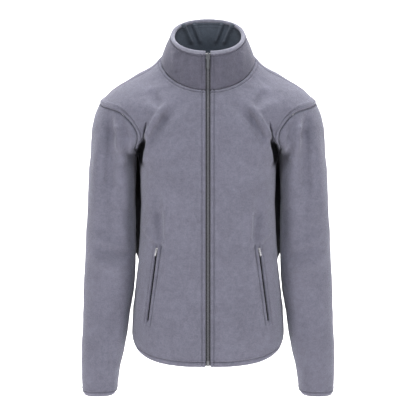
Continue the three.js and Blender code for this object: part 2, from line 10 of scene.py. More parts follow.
import bpy
import numpy as np
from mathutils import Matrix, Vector


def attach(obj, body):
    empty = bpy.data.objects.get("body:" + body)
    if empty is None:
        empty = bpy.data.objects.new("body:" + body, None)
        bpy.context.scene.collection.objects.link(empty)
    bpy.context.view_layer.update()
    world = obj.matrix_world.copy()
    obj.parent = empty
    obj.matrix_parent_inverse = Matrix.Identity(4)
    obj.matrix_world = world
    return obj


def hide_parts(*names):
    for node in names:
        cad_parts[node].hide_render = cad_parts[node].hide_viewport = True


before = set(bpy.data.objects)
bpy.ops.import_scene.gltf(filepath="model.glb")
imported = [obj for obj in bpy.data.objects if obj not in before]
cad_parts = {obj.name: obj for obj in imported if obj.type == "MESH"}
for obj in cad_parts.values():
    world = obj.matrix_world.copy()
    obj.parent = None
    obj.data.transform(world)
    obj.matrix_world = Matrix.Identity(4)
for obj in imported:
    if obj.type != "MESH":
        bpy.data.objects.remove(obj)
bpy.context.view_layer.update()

bl_info = {
    "name": "Fleece zip jacket",
    "version": (1, 0, 0),
    "blender": (4, 5, 0),
    "location": "View3D > Sidebar > Jacket",
    "description": "Builds a hollow fleece jacket with a full zip, a stand collar and zip pockets",
    "category": "Add Mesh",
}

MM = 0.001
DEGREE = math.pi / 180

# Levels of the body, read at the side seam and the shoulder seam
HEM_HEIGHT = -634.0
UNDERARM_HEIGHT = -197.0
SHOULDER_TIP_HEIGHT = -95.0
NECK_HEIGHT = 0.0
FRONT_EDGE_X = 5.5
SEAM_GAP = 0.2
SLEEVE_TOP_LEVEL = -215.0
CUFF_LEVEL = -744.0
SLEEVE_BEND = 2.4
COLLAR_LAYER_DEPTH = 3.8
COLLAR_HEIGHT = 80.0
LINING_PLAY = 0.8

# Distances of the sewing from the edge or seam that it follows
ZIP_STITCH = 7.5
NECK_STITCH = 7.0
HEM_STITCH = 11.0
ARMHOLE_STITCH = 8.2
CUFF_STITCH = 9.5
RIM_STITCH = 10.5
LINING_STITCH = 13.0
POCKET_INNER_STITCH = (-8.5, -7.0)
POCKET_OUTER_STITCH = 7.5
THREAD_LIFT = 0.35
NO_EDGE = 400.0

# Length of cloth for one radian or one turn, for ripples that run along a seam
BODY_RADIUS = 160
COLLAR_RADIUS = 90
SLEEVE_GIRTH = 300

# Stretches of a row with points close together, and the steps there
ZIP_STRETCH = 17.0
SEAM_STRETCH = 13.0
FOCUS_HALF = 11.0
FOCUS_COLUMNS = 20
FINE_STEP = 1.3
ROW_SAMPLES = 241

# Overlocked seam allowance under the armhole seam
OVERLOCK_DEPTH = 3.7
OVERLOCK_RADIUS = 2.0

# Noises of the pile, each with its scale and detail, and the height of its relief in metres
PILE_NOISES = {
    "fibre": (1100.0, 2.0),
    "tuft": (330.0, 2.0),
    "patch": (95.0, 3.0),
    "broad": (22.0, 3.0),
}
PILE_BUMP = 0.0012

BODY_COLUMNS = (
    "height", "front_y", "front_z", "side_x", "side_y", "back_y", "back_z", "bend", "rear_fold",
)
BODY_RINGS = (
    (-634, -114, -668, 167, 22, 114, -654, 2.9, 0),
    (-606, -115, -640, 173, 22, 114, -628, 2.9, 0),
    (-545, -113, -560, 168, 22, 110, -560, 2.9, 0),
    (-455, -109, -470, 158, 20, 100, -470, 2.9, 8),
    (-440, -109, -455, 156.4, 19.5, 99.4, -453, 2.9, 18),
    (-425, -109, -440, 155, 19, 98.8, -437, 2.9, 26),
    (-375, -109, -390, 152, 18, 98, -385, 2.9, 30),
    (-285, -113, -300, 152, 18, 106, -290, 2.9, 27),
    (-240, -115, -258, 152.5, 19, 110, -238, 2.9, 21),
    (-215, -116, -238, 156.5, 20, 112, -210, 2.9, 15),
    (-197, -116, -222, 164, 20, 113, -190, 2.9, 9),
    (-140, -111.5, -166, 196, 20, 113, -130, 2.6, 0),
    (-95, -98.5, -114, 241, 14, 106, -72, 2.3, 0),
    (-76, -95.2, -105, 226, 12, 102, -50, 2.3, 0),
    (-40, -86.6, -87, 168, 8, 90, -22, 2.2, 0),
    (-20, -80.8, -77, 128, 6.5, 79, -2, 2.2, 0),
    (0, -75, -67, 105, 5, 68, 18, 2.2, 0),
)
COLLAR_COLUMNS = (
    "rise", "front_y", "front_z", "side_x", "side_y", "height", "back_y", "back_z", "bend",
)
COLLAR_RINGS = (
    (0, -75, -67, 105, 5, 0, 68, 18, 2.2),
    (0.35, -72, -38, 97, 6, 22, 71, 46, 2.2),
    (0.7, -68, -9, 87.5, 7, 42, 72, 72, 2.2),
    (1, -65, 16, 80, 8, 58, 70, 95, 2.2),
)
ARMHOLE_COLUMNS = ("share", "front_turn", "back_turn")
ARMHOLE_SEAM = (
    (0, 90, 90),
    (0.1, 76, 81),
    (0.25, 61.5, 72),
    (0.35, 53, 67.5),
    (0.44, 48.6, 64.5),
    (0.54, 46.6, 63),
    (0.64, 46.4, 63),
    (0.75, 48, 64.5),
    (0.83, 52, 67.5),
    (0.91, 62, 74),
    (1, 90, 90),
)
HEAD_COLUMNS = ("share", "outward", "away", "drop", "length")
SLEEVE_HEAD = (
    (0, 0, 0, 1, 12),
    (0.25, 0.3, 0.1, 0.95, 26),
    (0.5, 0.8, 0.25, 0.55, 70),
    (0.75, 0.75, 0.2, 0.63, 95),
    (1, 0.6, 0, 0.8, 110),
)
SECTION_COLUMNS = ("level", "inner_x", "outer_x", "middle_y", "half_depth")
SLEEVE_SECTIONS = (
    (-744, 206, 283, -32, 42),
    (-720, 202, 283.5, -30, 43),
    (-680, 196, 283.5, -26, 46),
    (-640, 188, 283, -21, 49),
    (-600, 180.5, 282.5, -15, 52),
    (-560, 175.5, 281.5, -9, 54.5),
    (-520, 168.5, 280, -4, 57),
    (-480, 165, 278, 0, 59),
    (-440, 163.5, 275.6, 4, 60.5),
    (-400, 163.5, 274, 8, 62),
    (-330, 163, 270.5, 11, 65),
    (-260, 161, 267, 12, 69),
    (-215, 160.8, 263.5, 12, 72),
)

# Folds as lines seen from the front, in millimetres; face is 1 in front and -1 behind
FOLD_COLUMNS = ("face", "x1", "z1", "x2", "z2", "width", "height")
BODY_FOLDS = (
    (1, 140, -158, 142, -190, 7, -6),
    (1, 138, -187, 97, -110, 9, 3.5),
    (1, 128, -176, 82, -122, 9, -3),
    (1, 115, -108, 115, -112, 13, 3),
    (1, 128, -88, 118, -94, 12, -2.5),
    (1, 110, -300, 106, -400, 13, -4),
    (1, 126, -290, 124, -380, 11, 2.5),
    (1, 92, -300, 90, -390, 13, 2),
    (-1, 120, -150, 92, -215, 15, -4),
    (-1, 100, -300, 60, -345, 18, -3.5),
    (-1, 96, -350, 40, -385, 17, 3),
    (-1, 70, -400, 20, -420, 18, -3),
)
SLEEVE_FOLDS = (
    (1, 203, -110, 196, -190, 8, 3.5),
    (1, 196, -190, 184, -400, 11, 3),
    (1, 214, -112, 211, -260, 10, -4),
    (1, 211, -260, 214, -420, 13, -2.5),
    (1, 182, -145, 180, -178, 7, -3),
    (1, 232, -370, 192, -400, 15, -3),
    (1, 250, -440, 205, -455, 17, 2.5),
    (-1, 205, -150, 200, -280, 13, -4),
    (-1, 232, -390, 190, -372, 15, -4),
    (-1, 238, -432, 192, -420, 15, 3.5),
    (-1, 240, -475, 200, -462, 16, -3),
)
REAR_FOLD_CENTRE = -0.5
REAR_FOLD_SPREAD = 0.21

# Finer creases that only the cloth's looks have, in the same columns
BODY_CREASES = (
    (1, 133, -168, 107, -125, 7, 6.5),
    (1, 107, -125, 94, -104, 9, 4.5),
    (1, 121, -170, 96, -128, 10, -7),
    (1, 96, -128, 56, -98, 14, -5.5),
    (1, 116, -80, 108, -98, 10, -5),
    (1, 128, -100, 122, -128, 9, 1.6),
    (1, 124, -45, 86, -36, 5, -1.1),
    (1, 128, -63, 77, -56, 5, 1.1),
    (1, 150, -82, 120, -72, 6, -0.9),
    (1, 106, -340, 99, -388, 9, -5.5),
    (1, 90, -335, 95, -398, 7.5, 4.5),
    (1, 134, -376, 116, -396, 6, 4.5),
    (1, 126, -385, 124, -411, 7, -2),
    (1, 36, -544, 84, -613, 15, 2.2),
    (1, 60, -470, 30, -530, 18, -1.8),
    (1, 126, -600, 108, -612, 9, 1.6),
    (1, 66, -230, 60, -330, 22, 1.8),
    (-1, 60, -120, 20, -150, 14, -2.5),
    (-1, 90, -470, 50, -500, 16, 2.4),
    (-1, 120, -560, 118, -600, 12, -2),
    (-1, 110, -240, 80, -300, 16, 2.5),
    (-1, 130, -180, 112, -230, 9, 3),
)
SLEEVE_CREASES = (
    (1, 200, -114, 197, -150, 7, 5),
    (1, 197, -150, 189, -215, 7, 6),
    (1, 189, -215, 178, -320, 9, 5),
    (1, 212, -118, 215, -165, 10, -6),
    (1, 214, -160, 219, -270, 11, -6.5),
    (1, 219, -270, 214, -350, 13, -4),
    (1, 186, -122, 173, -171, 6, -5),
    (1, 165, -152, 169, -200, 5, 2.6),
    (1, 244, -150, 250, -320, 13, 2.6),
    (1, 240, -395, 190, -408, 9, 2.2),
    (1, 236, -415, 184, -430, 9, -5),
    (1, 240, -448, 196, -462, 12, 3.6),
    (1, 236, -520, 204, -505, 12, -2.2),
    (1, 225, -590, 230, -690, 14, 2.4),
    (1, 206, -560, 211, -670, 9, -2.4),
    (-1, 222, -330, 188, -345, 10, 3),
    (-1, 245, -540, 205, -560, 13, -2.6),
    (-1, 230, -150, 236, -280, 13, 3),
)
COLLAR_CREASES = (
    (-1, 58, 80, 39, 44, 6, 8),
    (-1, 47, 82, 29, 46, 6, -9),
    (-1, 33, 82, 20, 46, 6, 6.5),
)
COLLAR_OUTER_CREASES = (
    (1, 75, 12, 73, -22, 6, 2),
    (1, 63, 4, 61, -28, 8, -1.6),
)

# Deep pleat where the front turns in under the arm, as seen from the front
PLEAT_COLUMNS = ("x", "z", "half_width", "depth")
ARMPIT_PLEAT = (
    (133, -138, 2, 3),
    (134.5, -160, 4, 12),
    (138, -176, 6.5, 24),
    (142.5, -187.5, 9.5, 34),
    (146.5, -200, 9, 38),
    (148.5, -213, 8, 36),
    (150, -226, 6, 24),
    (151, -242, 4, 6),
)

# Where the front's points lie closest together: down past the armpit and along the pocket
FOCUS_HEIGHTS = (-700, -575, -408, -330, -240, -187, -145, -100, -60)
FOCUS_X = (150, 133, 111, 118, 140, 143, 134, 112, 84)

# Slow unevenness of hung cloth, as many faint waves in all directions
RUMPLE_WAVES = 30
RUMPLE_LONGEST = 190.0
RUMPLE_SHORTEST = 24.0
RUMPLE_STEEPNESS = 0.0026
RUMPLE_SEED = 11

# The slanted pocket line on the front, seen from the front
POCKET_TOP = (111.0, -408.0)
POCKET_FOOT = (133.0, -575.0)


class JacketClothSettings(bpy.types.PropertyGroup):
    """Sizes and colours of the fleece."""

    wall: bpy.props.FloatProperty(
        name="Cloth thickness", description="Thickness of the fleece", default=0.0022,
        min=0.001, max=0.004, subtype="DISTANCE", unit="LENGTH",
    )
    grid_step: bpy.props.FloatProperty(
        name="Grid step", description="Distance between the points of a cloth piece",
        default=0.0033, min=0.002, max=0.01, subtype="DISTANCE", unit="LENGTH",
    )
    body_colour: bpy.props.FloatVectorProperty(
        name="Fleece colour", description="Outside of the cloth", default=(0.129, 0.126, 0.162),
        size=3, min=0, max=1, subtype="COLOR",
    )
    # The collar's outside is given darker than the body's fleece; the cause of the darkness is not
    # known
    collar_colour: bpy.props.FloatVectorProperty(
        name="Collar colour", description="Outside of the collar, its pile laid the other way",
        default=(0.083, 0.079, 0.104), size=3, min=0, max=1, subtype="COLOR",
    )
    # Painted light, not worn pile: the rolled rim is given lighter than the body for the light its
    # upturned edge catches
    rim_lit_colour: bpy.props.FloatVectorProperty(
        name="Rim colour", description="Rolled rim of the collar, its pile worn lighter",
        default=(0.185, 0.183, 0.222), size=3, min=0, max=1, subtype="COLOR",
    )
    # Painted shade: the inside is the outside's fleece, given near black for the shade inside collar
    # and body
    inside_shade_colour: bpy.props.FloatVectorProperty(
        name="Inside colour", description="Inside of the collar and the body",
        default=(0.058, 0.068, 0.085), size=3, min=0, max=1, subtype="COLOR",
    )
    sheen: bpy.props.FloatProperty(
        name="Sheen", description="Soft light that the brushed pile catches", default=0.3,
        min=0, max=1, subtype="FACTOR",
    )


class JacketTrimSettings(bpy.types.PropertyGroup):
    """Sizes and colours of the sewing and the zips."""

    stitch_pitch: bpy.props.FloatProperty(
        name="Stitch pitch", description="Distance from one stitch to the next", default=0.0031,
        min=0.0015, max=0.006, subtype="DISTANCE", unit="LENGTH",
    )
    stitch_length: bpy.props.FloatProperty(
        name="Stitch length", description="Length of the thread that shows", default=0.0022,
        min=0.001, max=0.005, subtype="DISTANCE", unit="LENGTH",
    )
    stitch_width: bpy.props.FloatProperty(
        name="Thread width", description="Width of the sewing thread", default=0.0009,
        min=0.0002, max=0.001, subtype="DISTANCE", unit="LENGTH",
    )
    coil_pitch: bpy.props.FloatProperty(
        name="Coil pitch", description="Distance between the turns of a zip coil", default=0.0016,
        min=0.001, max=0.003, subtype="DISTANCE", unit="LENGTH",
    )
    thread_colour: bpy.props.FloatVectorProperty(
        name="Thread colour", description="Sewing thread", default=(0.04, 0.038, 0.05),
        size=3, min=0, max=1, subtype="COLOR",
    )
    tape_colour: bpy.props.FloatVectorProperty(
        name="Tape colour", description="Woven zip tape", default=(0.022, 0.021, 0.026),
        size=3, min=0, max=1, subtype="COLOR",
    )
    coil_colour: bpy.props.FloatVectorProperty(
        name="Coil colour", description="Nylon zip coil", default=(0.125, 0.124, 0.138),
        size=3, min=0, max=1, subtype="COLOR",
    )
    metal_colour: bpy.props.FloatVectorProperty(
        name="Metal colour", description="Sliders, pulls and the zip's box",
        default=(0.2, 0.2, 0.21), size=3, min=0, max=1, subtype="COLOR",
    )


class JacketStageSettings(bpy.types.PropertyGroup):
    """The floor, the light and the viewpoint."""

    distance: bpy.props.FloatProperty(
        name="Camera distance", description="From the camera to the jacket's middle", default=2.5,
        min=1, max=10, subtype="DISTANCE", unit="LENGTH",
    )
    elevation: bpy.props.FloatProperty(
        name="Camera elevation", description="Angle of the camera above the horizon",
        default=5 * DEGREE, subtype="ANGLE", unit="ROTATION",
    )
    lens: bpy.props.FloatProperty(
        name="Lens", description="Focal length on a 36 mm sensor", default=96.15, min=20, max=300,
    )
    floor_colour: bpy.props.FloatVectorProperty(
        name="Floor colour", description="Floor and backdrop", default=(0.95, 0.95, 0.95),
        size=3, min=0, max=1, subtype="COLOR",
    )


class TableCurves:
    """A smooth curve for each named column of a table, read at the first column.

    Between two rows the curve is a cubic whose end slopes are the weighted harmonic means
    of the neighbouring steps, or zero where the steps change sign, so it never overshoots.
    """

    def __init__(self, columns, rows):
        values = np.array(rows, dtype=float)
        self.columns = columns
        self.keys = values[:, 0]
        self.values = values[:, 1:]
        spans = np.diff(self.keys)[:, None]
        steps = np.diff(self.values, axis=0) / spans
        slopes = np.zeros_like(self.values)
        slopes[0] = steps[0]
        slopes[-1] = steps[-1]
        heavy = 2 * spans[1:] + spans[:-1]
        light = spans[1:] + 2 * spans[:-1]
        same = steps[:-1] * steps[1:] > 0
        safe_before = np.where(same, steps[:-1], 1)
        safe_after = np.where(same, steps[1:], 1)
        mean = (heavy + light) / (heavy / safe_before + light / safe_after)
        slopes[1:-1] = np.where(same, mean, 0)
        self.slopes = slopes

    def __call__(self, value):
        value = np.asarray(value, dtype=float)
        place = np.clip(np.searchsorted(self.keys, value) - 1, 0, len(self.keys) - 2)
        span = self.keys[place + 1] - self.keys[place]
        t = np.clip((value - self.keys[place]) / span, 0, 1)[..., None]
        span = span[..., None]
        result = (2 * t**3 - 3 * t**2 + 1) * self.values[place]
        result += (t**3 - 2 * t**2 + t) * span * self.slopes[place]
        result += (3 * t**2 - 2 * t**3) * self.values[place + 1]
        result += (t**3 - t**2) * span * self.slopes[place + 1]
        named = {name: result[..., i] for i, name in enumerate(self.columns[1:])}
        return SimpleNamespace(**{self.columns[0]: value, **named})


body_ring_at = TableCurves(BODY_COLUMNS, BODY_RINGS)
collar_ring_at = TableCurves(COLLAR_COLUMNS, COLLAR_RINGS)
armhole_at = TableCurves(ARMHOLE_COLUMNS, ARMHOLE_SEAM)
head_at = TableCurves(HEAD_COLUMNS, SLEEVE_HEAD)
section_at = TableCurves(SECTION_COLUMNS, SLEEVE_SECTIONS)


def smooth_step(value, low, high):
    """0 below low, 1 above high, and 3 t squared less 2 t cubed between them."""
    t = np.clip((value - low) / (high - low), 0, 1)
    return t * t * (3 - 2 * t)


def bell(value, centre, spread):
    """1 at the centre, falling as e to the minus square of the distance over the spread."""
    return np.exp(-(((value - centre) / spread) ** 2))


def unit(vectors):
    """Each vector over its own length."""
    return vectors / np.maximum(np.linalg.norm(vectors, axis=-1, keepdims=True), 1e-12)


def ring_point(ring, turn):
    """Rounded square ring: the reach at a turn is the sum of the powers of its sine and
    cosine, to the power of minus one over the bend. The level follows the front, side and
    back of the ring as a quadratic of how far forward the point is."""
    sine = np.sin(turn)
    cosine = np.cos(turn)
    total = np.abs(sine) ** ring.bend + np.abs(cosine) ** ring.bend
    reach = total ** (-1 / ring.bend)
    forward = cosine * reach
    half_depth = np.where(forward > 0, ring.side_y - ring.front_y, ring.back_y - ring.side_y)
    tilt = (ring.front_z - ring.back_z) / 2
    sag = (ring.front_z + ring.back_z) / 2 - ring.height
    x = ring.side_x * sine * reach
    y = ring.side_y - half_depth * forward
    z = ring.height + tilt * forward + sag * forward**2
    return np.stack([x, y, z], axis=-1), forward


def turn_at_x(ring, x):
    """The turn at which a ring is x from the middle plane."""
    share = np.clip(x / ring.side_x, 0, 1)
    return np.arctan2(share, (1 - share**ring.bend) ** (1 / ring.bend))


def fold_height(folds, face, x, z):
    """Sum of the folds of one face: each is a bell over the distance from its line."""
    total = np.zeros_like(x)
    for row in folds:
        fold = dict(zip(FOLD_COLUMNS, row))
        along_x = fold["x2"] - fold["x1"]
        along_z = fold["z2"] - fold["z1"]
        length = along_x**2 + along_z**2
        t = ((x - fold["x1"]) * along_x + (z - fold["z1"]) * along_z) / length
        t = np.clip(t, 0, 1)
        off_x = x - fold["x1"] - t * along_x
        off_z = z - fold["z1"] - t * along_z
        height = fold["height"] * np.exp(-(off_x**2 + off_z**2) / fold["width"] ** 2)
        total += np.where(face == fold["face"], height, 0)
    return total


def rumple(points):
    """Sum of sine waves of evenly graded lengths in directions drawn from a fixed seed,
    each as high as its length times the steepness; both sides have the same."""
    draw = np.random.default_rng(RUMPLE_SEED)
    directions = unit(draw.normal(size=(RUMPLE_WAVES, 3)))
    phases = draw.uniform(0, 2 * math.pi, RUMPLE_WAVES)
    lengths = np.geomspace(RUMPLE_LONGEST, RUMPLE_SHORTEST, RUMPLE_WAVES)
    place = np.concatenate([np.abs(points[..., :1]), points[..., 1:]], axis=-1)
    total = np.zeros(points.shape[:-1])
    for direction, phase, length in zip(directions, phases, lengths):
        total += RUMPLE_STEEPNESS * length * np.sin(place @ direction * 2 * math.pi / length + phase)
    return total


def pleat_depth(x, z):
    """Depth of the armpit's pleat: full near its line and running out at its half width;
    width and depth change evenly along each part of the line."""
    deepest = np.zeros_like(x)
    rows = [dict(zip(PLEAT_COLUMNS, row)) for row in ARMPIT_PLEAT]
    for first, last in zip(rows[:-1], rows[1:]):
        along_x = last["x"] - first["x"]
        along_z = last["z"] - first["z"]
        t = (x - first["x"]) * along_x + (z - first["z"]) * along_z
        t = np.clip(t / (along_x**2 + along_z**2), 0, 1)
        distance = np.hypot(x - first["x"] - t * along_x, z - first["z"] - t * along_z)
        width = first["half_width"] + t * (last["half_width"] - first["half_width"])
        depth = first["depth"] + t * (last["depth"] - first["depth"])
        inside = 1 - smooth_step(distance, width * 0.35, width)
        deepest = np.maximum(deepest, depth * inside)
    return deepest


def crease_relief(creases, points, forward):
    """Finer creases, less towards the seams at the sides."""
    face = np.where(forward > 0, 1, -1)
    fade = smooth_step(np.abs(forward), 0, 0.25)
    side = np.abs(points[..., 0])
    return fold_height(creases, face, side, points[..., 2]) * fade


def surface_normal(surface, u, v, u_step, v_step, v_low, v_high):
    """Cross product of the differences of a surface across and along a point."""
    across = surface(u + u_step, v) - surface(u - u_step, v)
    upper = surface(u, np.minimum(v + v_step, v_high))
    lower = surface(u, np.maximum(v - v_step, v_low))
    return unit(np.cross(across, upper - lower))


def plain_body(turn, height):
    """The body's rings with no folds."""
    return ring_point(body_ring_at(height), turn)[0]


def body_surface(turn, height):
    """Face of the body cloth: the ring point moved out by its folds."""
    ring = body_ring_at(height)
    point, forward = ring_point(ring, turn)
    face = np.where(forward > 0, 1, -1)
    side = np.abs(point[..., 0])
    seam_fade = smooth_step(np.abs(forward), 0, 0.3)
    middle_fade = np.where(face > 0, smooth_step(side, 8, 34), 1)
    folds = fold_height(BODY_FOLDS, face, side, point[..., 2]) * seam_fade * middle_fade
    rear = ring.rear_fold * bell(forward, REAR_FOLD_CENTRE, REAR_FOLD_SPREAD)
    normal = surface_normal(plain_body, turn, height, 1e-3, 1.0, HEM_HEIGHT, NECK_HEIGHT)
    return point + normal * (folds + rear)[..., None]


def body_normal(turn, height):
    """Outward normal of the body's face, over a few millimetres."""
    return surface_normal(body_surface, turn, height, 4e-3, 2.0, HEM_HEIGHT, NECK_HEIGHT)


def collar_surface(turn, rise):
    """The collar stands on the neck seam and leans in to its rim."""
    return ring_point(collar_ring_at(rise), turn)[0]


def collar_normal(turn, rise):
    """Outward normal of the collar."""
    return surface_normal(collar_surface, turn, rise, 1e-3, 0.01, 0.0, 1.0)


def armhole_height(share):
    """Side height of the armhole seam: half a cosine wave from the underarm to the tip."""
    rise = (1 - np.cos(math.pi * share)) / 2
    return UNDERARM_HEIGHT + (SHOULDER_TIP_HEIGHT - UNDERARM_HEIGHT) * rise


def armhole_place(around):
    """Turn and side height of the armhole seam; around is 0 at the underarm, 0.25 in
    front, 0.5 at the shoulder tip and 0.75 behind."""
    in_front = around <= 0.5
    share = np.where(in_front, around * 2, (1 - around) * 2)
    seam = armhole_at(share)
    turn = np.where(in_front, seam.front_turn * DEGREE, math.pi - seam.back_turn * DEGREE)
    return turn, armhole_height(share)


def section_point(section, around):
    """Level section of the hanging sleeve, a rounded square that starts at the body side."""
    angle = around * 2 * math.pi
    sine = np.sin(angle)
    cosine = np.cos(angle)
    total = np.abs(sine) ** SLEEVE_BEND + np.abs(cosine) ** SLEEVE_BEND
    reach = total ** (-1 / SLEEVE_BEND)
    middle_x = (section.inner_x + section.outer_x) / 2
    half_x = (section.outer_x - section.inner_x) / 2
    x = middle_x - half_x * cosine * reach
    y = section.middle_y - section.half_depth * sine * reach
    return np.stack([x, y, np.broadcast_to(section.level, x.shape)], axis=-1)


def plain_sleeve(around, along):
    """Sleeve with no folds: a cubic from the armhole seam to the upper arm for along 0 to
    1, then level sections down to the cuff for along 1 to 2."""
    around = np.mod(around, 1.0)
    level = SLEEVE_TOP_LEVEL + (CUFF_LEVEL - SLEEVE_TOP_LEVEL) * np.maximum(along - 1, 0)
    lower = section_point(section_at(level), around)
    share = np.where(around <= 0.5, around * 2, (1 - around) * 2)
    away_sign = np.where(around <= 0.5, -1, 1)
    head = head_at(share)
    leave = unit(np.stack([head.outward, head.away * away_sign, -head.drop], axis=-1))
    turn, height = armhole_place(around)
    start = body_surface(turn, height) + leave * SEAM_GAP + body_normal(turn, height) * SEAM_GAP
    finish = section_point(section_at(np.full_like(along, SLEEVE_TOP_LEVEL)), around)
    t = np.clip(along, 0, 1)[..., None]
    length = head.length[..., None]
    upper = (2 * t**3 - 3 * t**2 + 1) * start + length * (t**3 - 2 * t**2 + t) * leave
    upper = upper + (3 * t**2 - 2 * t**3) * finish
    upper[..., 2] -= (length * (t**3 - t**2))[..., 0]
    return np.where(along[..., None] >= 1, lower, upper)


def sleeve_surface(around, along):
    """Face of the sleeve cloth with its folds."""
    point = plain_sleeve(around, along)
    wrapped = np.mod(around, 1.0)
    face = np.where(wrapped <= 0.5, 1, -1)
    side_fade = smooth_step(np.abs(np.sin(wrapped * 2 * math.pi)), 0, 0.5)
    seam_fade = smooth_step(along, 0, 0.4)
    folds = fold_height(SLEEVE_FOLDS, face, point[..., 0], point[..., 2])
    normal = surface_normal(plain_sleeve, around, along, -1e-3, 0.004, 0.0, 2.0)
    return point + normal * (folds * side_fade * seam_fade)[..., None]


def sleeve_normal(around, along):
    """Outward normal of the sleeve's face, over a few millimetres."""
    return surface_normal(sleeve_surface, around, along, -4e-3, 0.01, 0.0, 2.0)


def seam_distance(points, line):
    """Distance of every point from a line of closely spaced points."""
    flat = points.reshape(-1, 3)
    nearest = np.full(len(flat), np.inf)
    starts = line[:-1]
    spans = line[1:] - line[:-1]
    for start, span in zip(starts, spans):
        t = np.clip((flat - start) @ span / max(span @ span, 1e-9), 0, 1)
        nearest = np.minimum(nearest, np.linalg.norm(flat - start - t[:, None] * span, axis=1))
    return nearest.reshape(points.shape[:-1])


def edge_roll(distance):
    """The cloth turns down into a seam over its last three millimetres."""
    return -1.7 * np.exp(-((distance / 1.8) ** 2))


def stitch_groove(distance, line, depth=1.7):
    """Groove under a line of stitches, with a swell on each side."""
    groove = -depth * bell(distance, line, 1.3)
    swell = 0.5 * depth * (bell(distance, line + 3.4, 1.9) + bell(distance, line - 3.4, 1.7))
    return groove + swell


def pucker(distance, line, run, reach=7.0):
    """Small ripples across a line of stitches; run is the place along the line."""
    ripple = np.sin(run * 0.42 + 1.7 * np.sin(run * 0.053)) + 0.6 * np.sin(run * 0.19 + 2)
    return 0.22 * ripple * bell(distance, line, reach)


def even_steps(length, step):
    """How many steps of about the given size a length takes, two at least."""
    return max(int(round(length / step)), 2)


def stretches(knots, counts):
    """Places along every row, each stretch between two knots shared out evenly."""
    parts = []
    for low, high, count in zip(knots[:-1], knots[1:], counts):
        share = np.linspace(0, 1, count + 1)[:-1]
        parts.append(low[:, None] + (high - low)[:, None] * share)
    return np.concatenate([*parts, knots[-1][:, None]], axis=1)


def front_places(lengths, points, step):
    """Places along each row of a front: fine at the zip, at the outer seam and where the
    pocket and the armpit's pleat pass."""
    total = lengths[:, -1]
    off = points[..., 0] - np.interp(points[..., 2], FOCUS_HEIGHTS, FOCUS_X)
    centre = np.array([np.interp(0, row, length) for row, length in zip(off, lengths)])
    low = ZIP_STRETCH + FOCUS_HALF + 5 * step
    high = total - SEAM_STRETCH - FOCUS_HALF - 4 * step
    centre = np.clip(centre, low, high)
    start = np.zeros_like(total)
    knots = [
        start, start + ZIP_STRETCH, centre - FOCUS_HALF, centre + FOCUS_HALF,
        total - SEAM_STRETCH, total,
    ]
    inner = even_steps(float(np.max(knots[2] - knots[1])), step)
    outer = even_steps(float(np.max(knots[4] - knots[3])), step)
    zip_count = even_steps(ZIP_STRETCH, FINE_STEP)
    counts = (zip_count, inner, FOCUS_COLUMNS, outer, even_steps(SEAM_STRETCH, FINE_STEP))
    return stretches(knots, counts), zip_count + inner + FOCUS_COLUMNS // 2


def back_places(lengths, step):
    """Places along each row of the back: fine at both outer seams."""
    total = lengths[:, -1]
    start = np.zeros_like(total)
    knots = [start, start + SEAM_STRETCH, total - SEAM_STRETCH, total]
    edge = even_steps(SEAM_STRETCH, FINE_STEP)
    middle = even_steps(float(np.max(total)) - 2 * SEAM_STRETCH, step)
    return stretches(knots, (edge, middle, edge))


def row_lengths(surface, heights, first, last):
    """Fine samples of each row between two turns: the turns, points and lengths so far."""
    samples = np.linspace(0, 1, ROW_SAMPLES)
    turns = first[:, None] + (last - first)[:, None] * samples
    points = surface(turns, np.repeat(heights[:, None], len(samples), axis=1))
    pieces = np.linalg.norm(np.diff(points, axis=1), axis=-1)
    lengths = np.concatenate([np.zeros((len(heights), 1)), np.cumsum(pieces, axis=1)], axis=1)
    return turns, points, lengths


def turns_at(places, lengths, turns):
    """The turns at given places along each row."""
    found = [np.interp(row, length, turn) for row, length, turn in zip(places, lengths, turns)]
    return np.array(found)


def body_heights(step):
    """Side heights of the rows: close together at the hem, the armhole and the neck."""
    hem = np.linspace(HEM_HEIGHT, HEM_HEIGHT + 18, 15)
    lower = np.linspace(hem[-1], UNDERARM_HEIGHT, even_steps(UNDERARM_HEIGHT - hem[-1], step))
    shares = 1 - (1 - np.linspace(0, 1, 70)) ** 1.25
    yoke = np.linspace(SHOULDER_TIP_HEIGHT, -12, even_steps(120, step))
    neck = np.linspace(-12, NECK_HEIGHT, 11)
    return np.concatenate([hem, lower[1:-1], armhole_height(shares), yoke[1:], neck[1:]])


def outer_turn(heights, column):
    """Turn of a panel's outer edge: the side seam, the armhole or the shoulder seam."""
    rise = (heights - UNDERARM_HEIGHT) / (SHOULDER_TIP_HEIGHT - UNDERARM_HEIGHT)
    share = np.arccos(1 - 2 * np.clip(rise, 0, 1)) / math.pi
    armhole = getattr(armhole_at(share), column) * DEGREE
    ring = body_ring_at(heights)
    gap = SEAM_GAP / (ring.back_y - ring.front_y)
    return np.where((rise > 0) & (rise < 1), armhole, math.pi / 2 - gap)


def armhole_line(low, high):
    """Points of the armhole seam between two places around it."""
    turn, height = armhole_place(np.linspace(low, high, 90))
    return body_surface(turn, height)


def neck_line():
    """Points round the neck seam."""
    turns = np.linspace(0, 2 * math.pi, 160)
    return body_surface(turns, np.full_like(turns, NECK_HEIGHT))


def hem_line():
    """Points round the hem's edge."""
    turns = np.linspace(0, 2 * math.pi, 200)
    return body_surface(turns, np.full_like(turns, HEM_HEIGHT))


def wall_faces(rows, columns, round_about):
    """Quads of a grid of points, row by row."""
    last = columns if round_about else columns - 1
    row, column = np.meshgrid(np.arange(rows - 1), np.arange(last), indexing="ij")
    after = (column + 1) % columns
    corners = [row * columns + column, row * columns + after]
    corners += [(row + 1) * columns + after, (row + 1) * columns + column]
    return np.stack(corners, axis=-1).reshape(-1, 4)


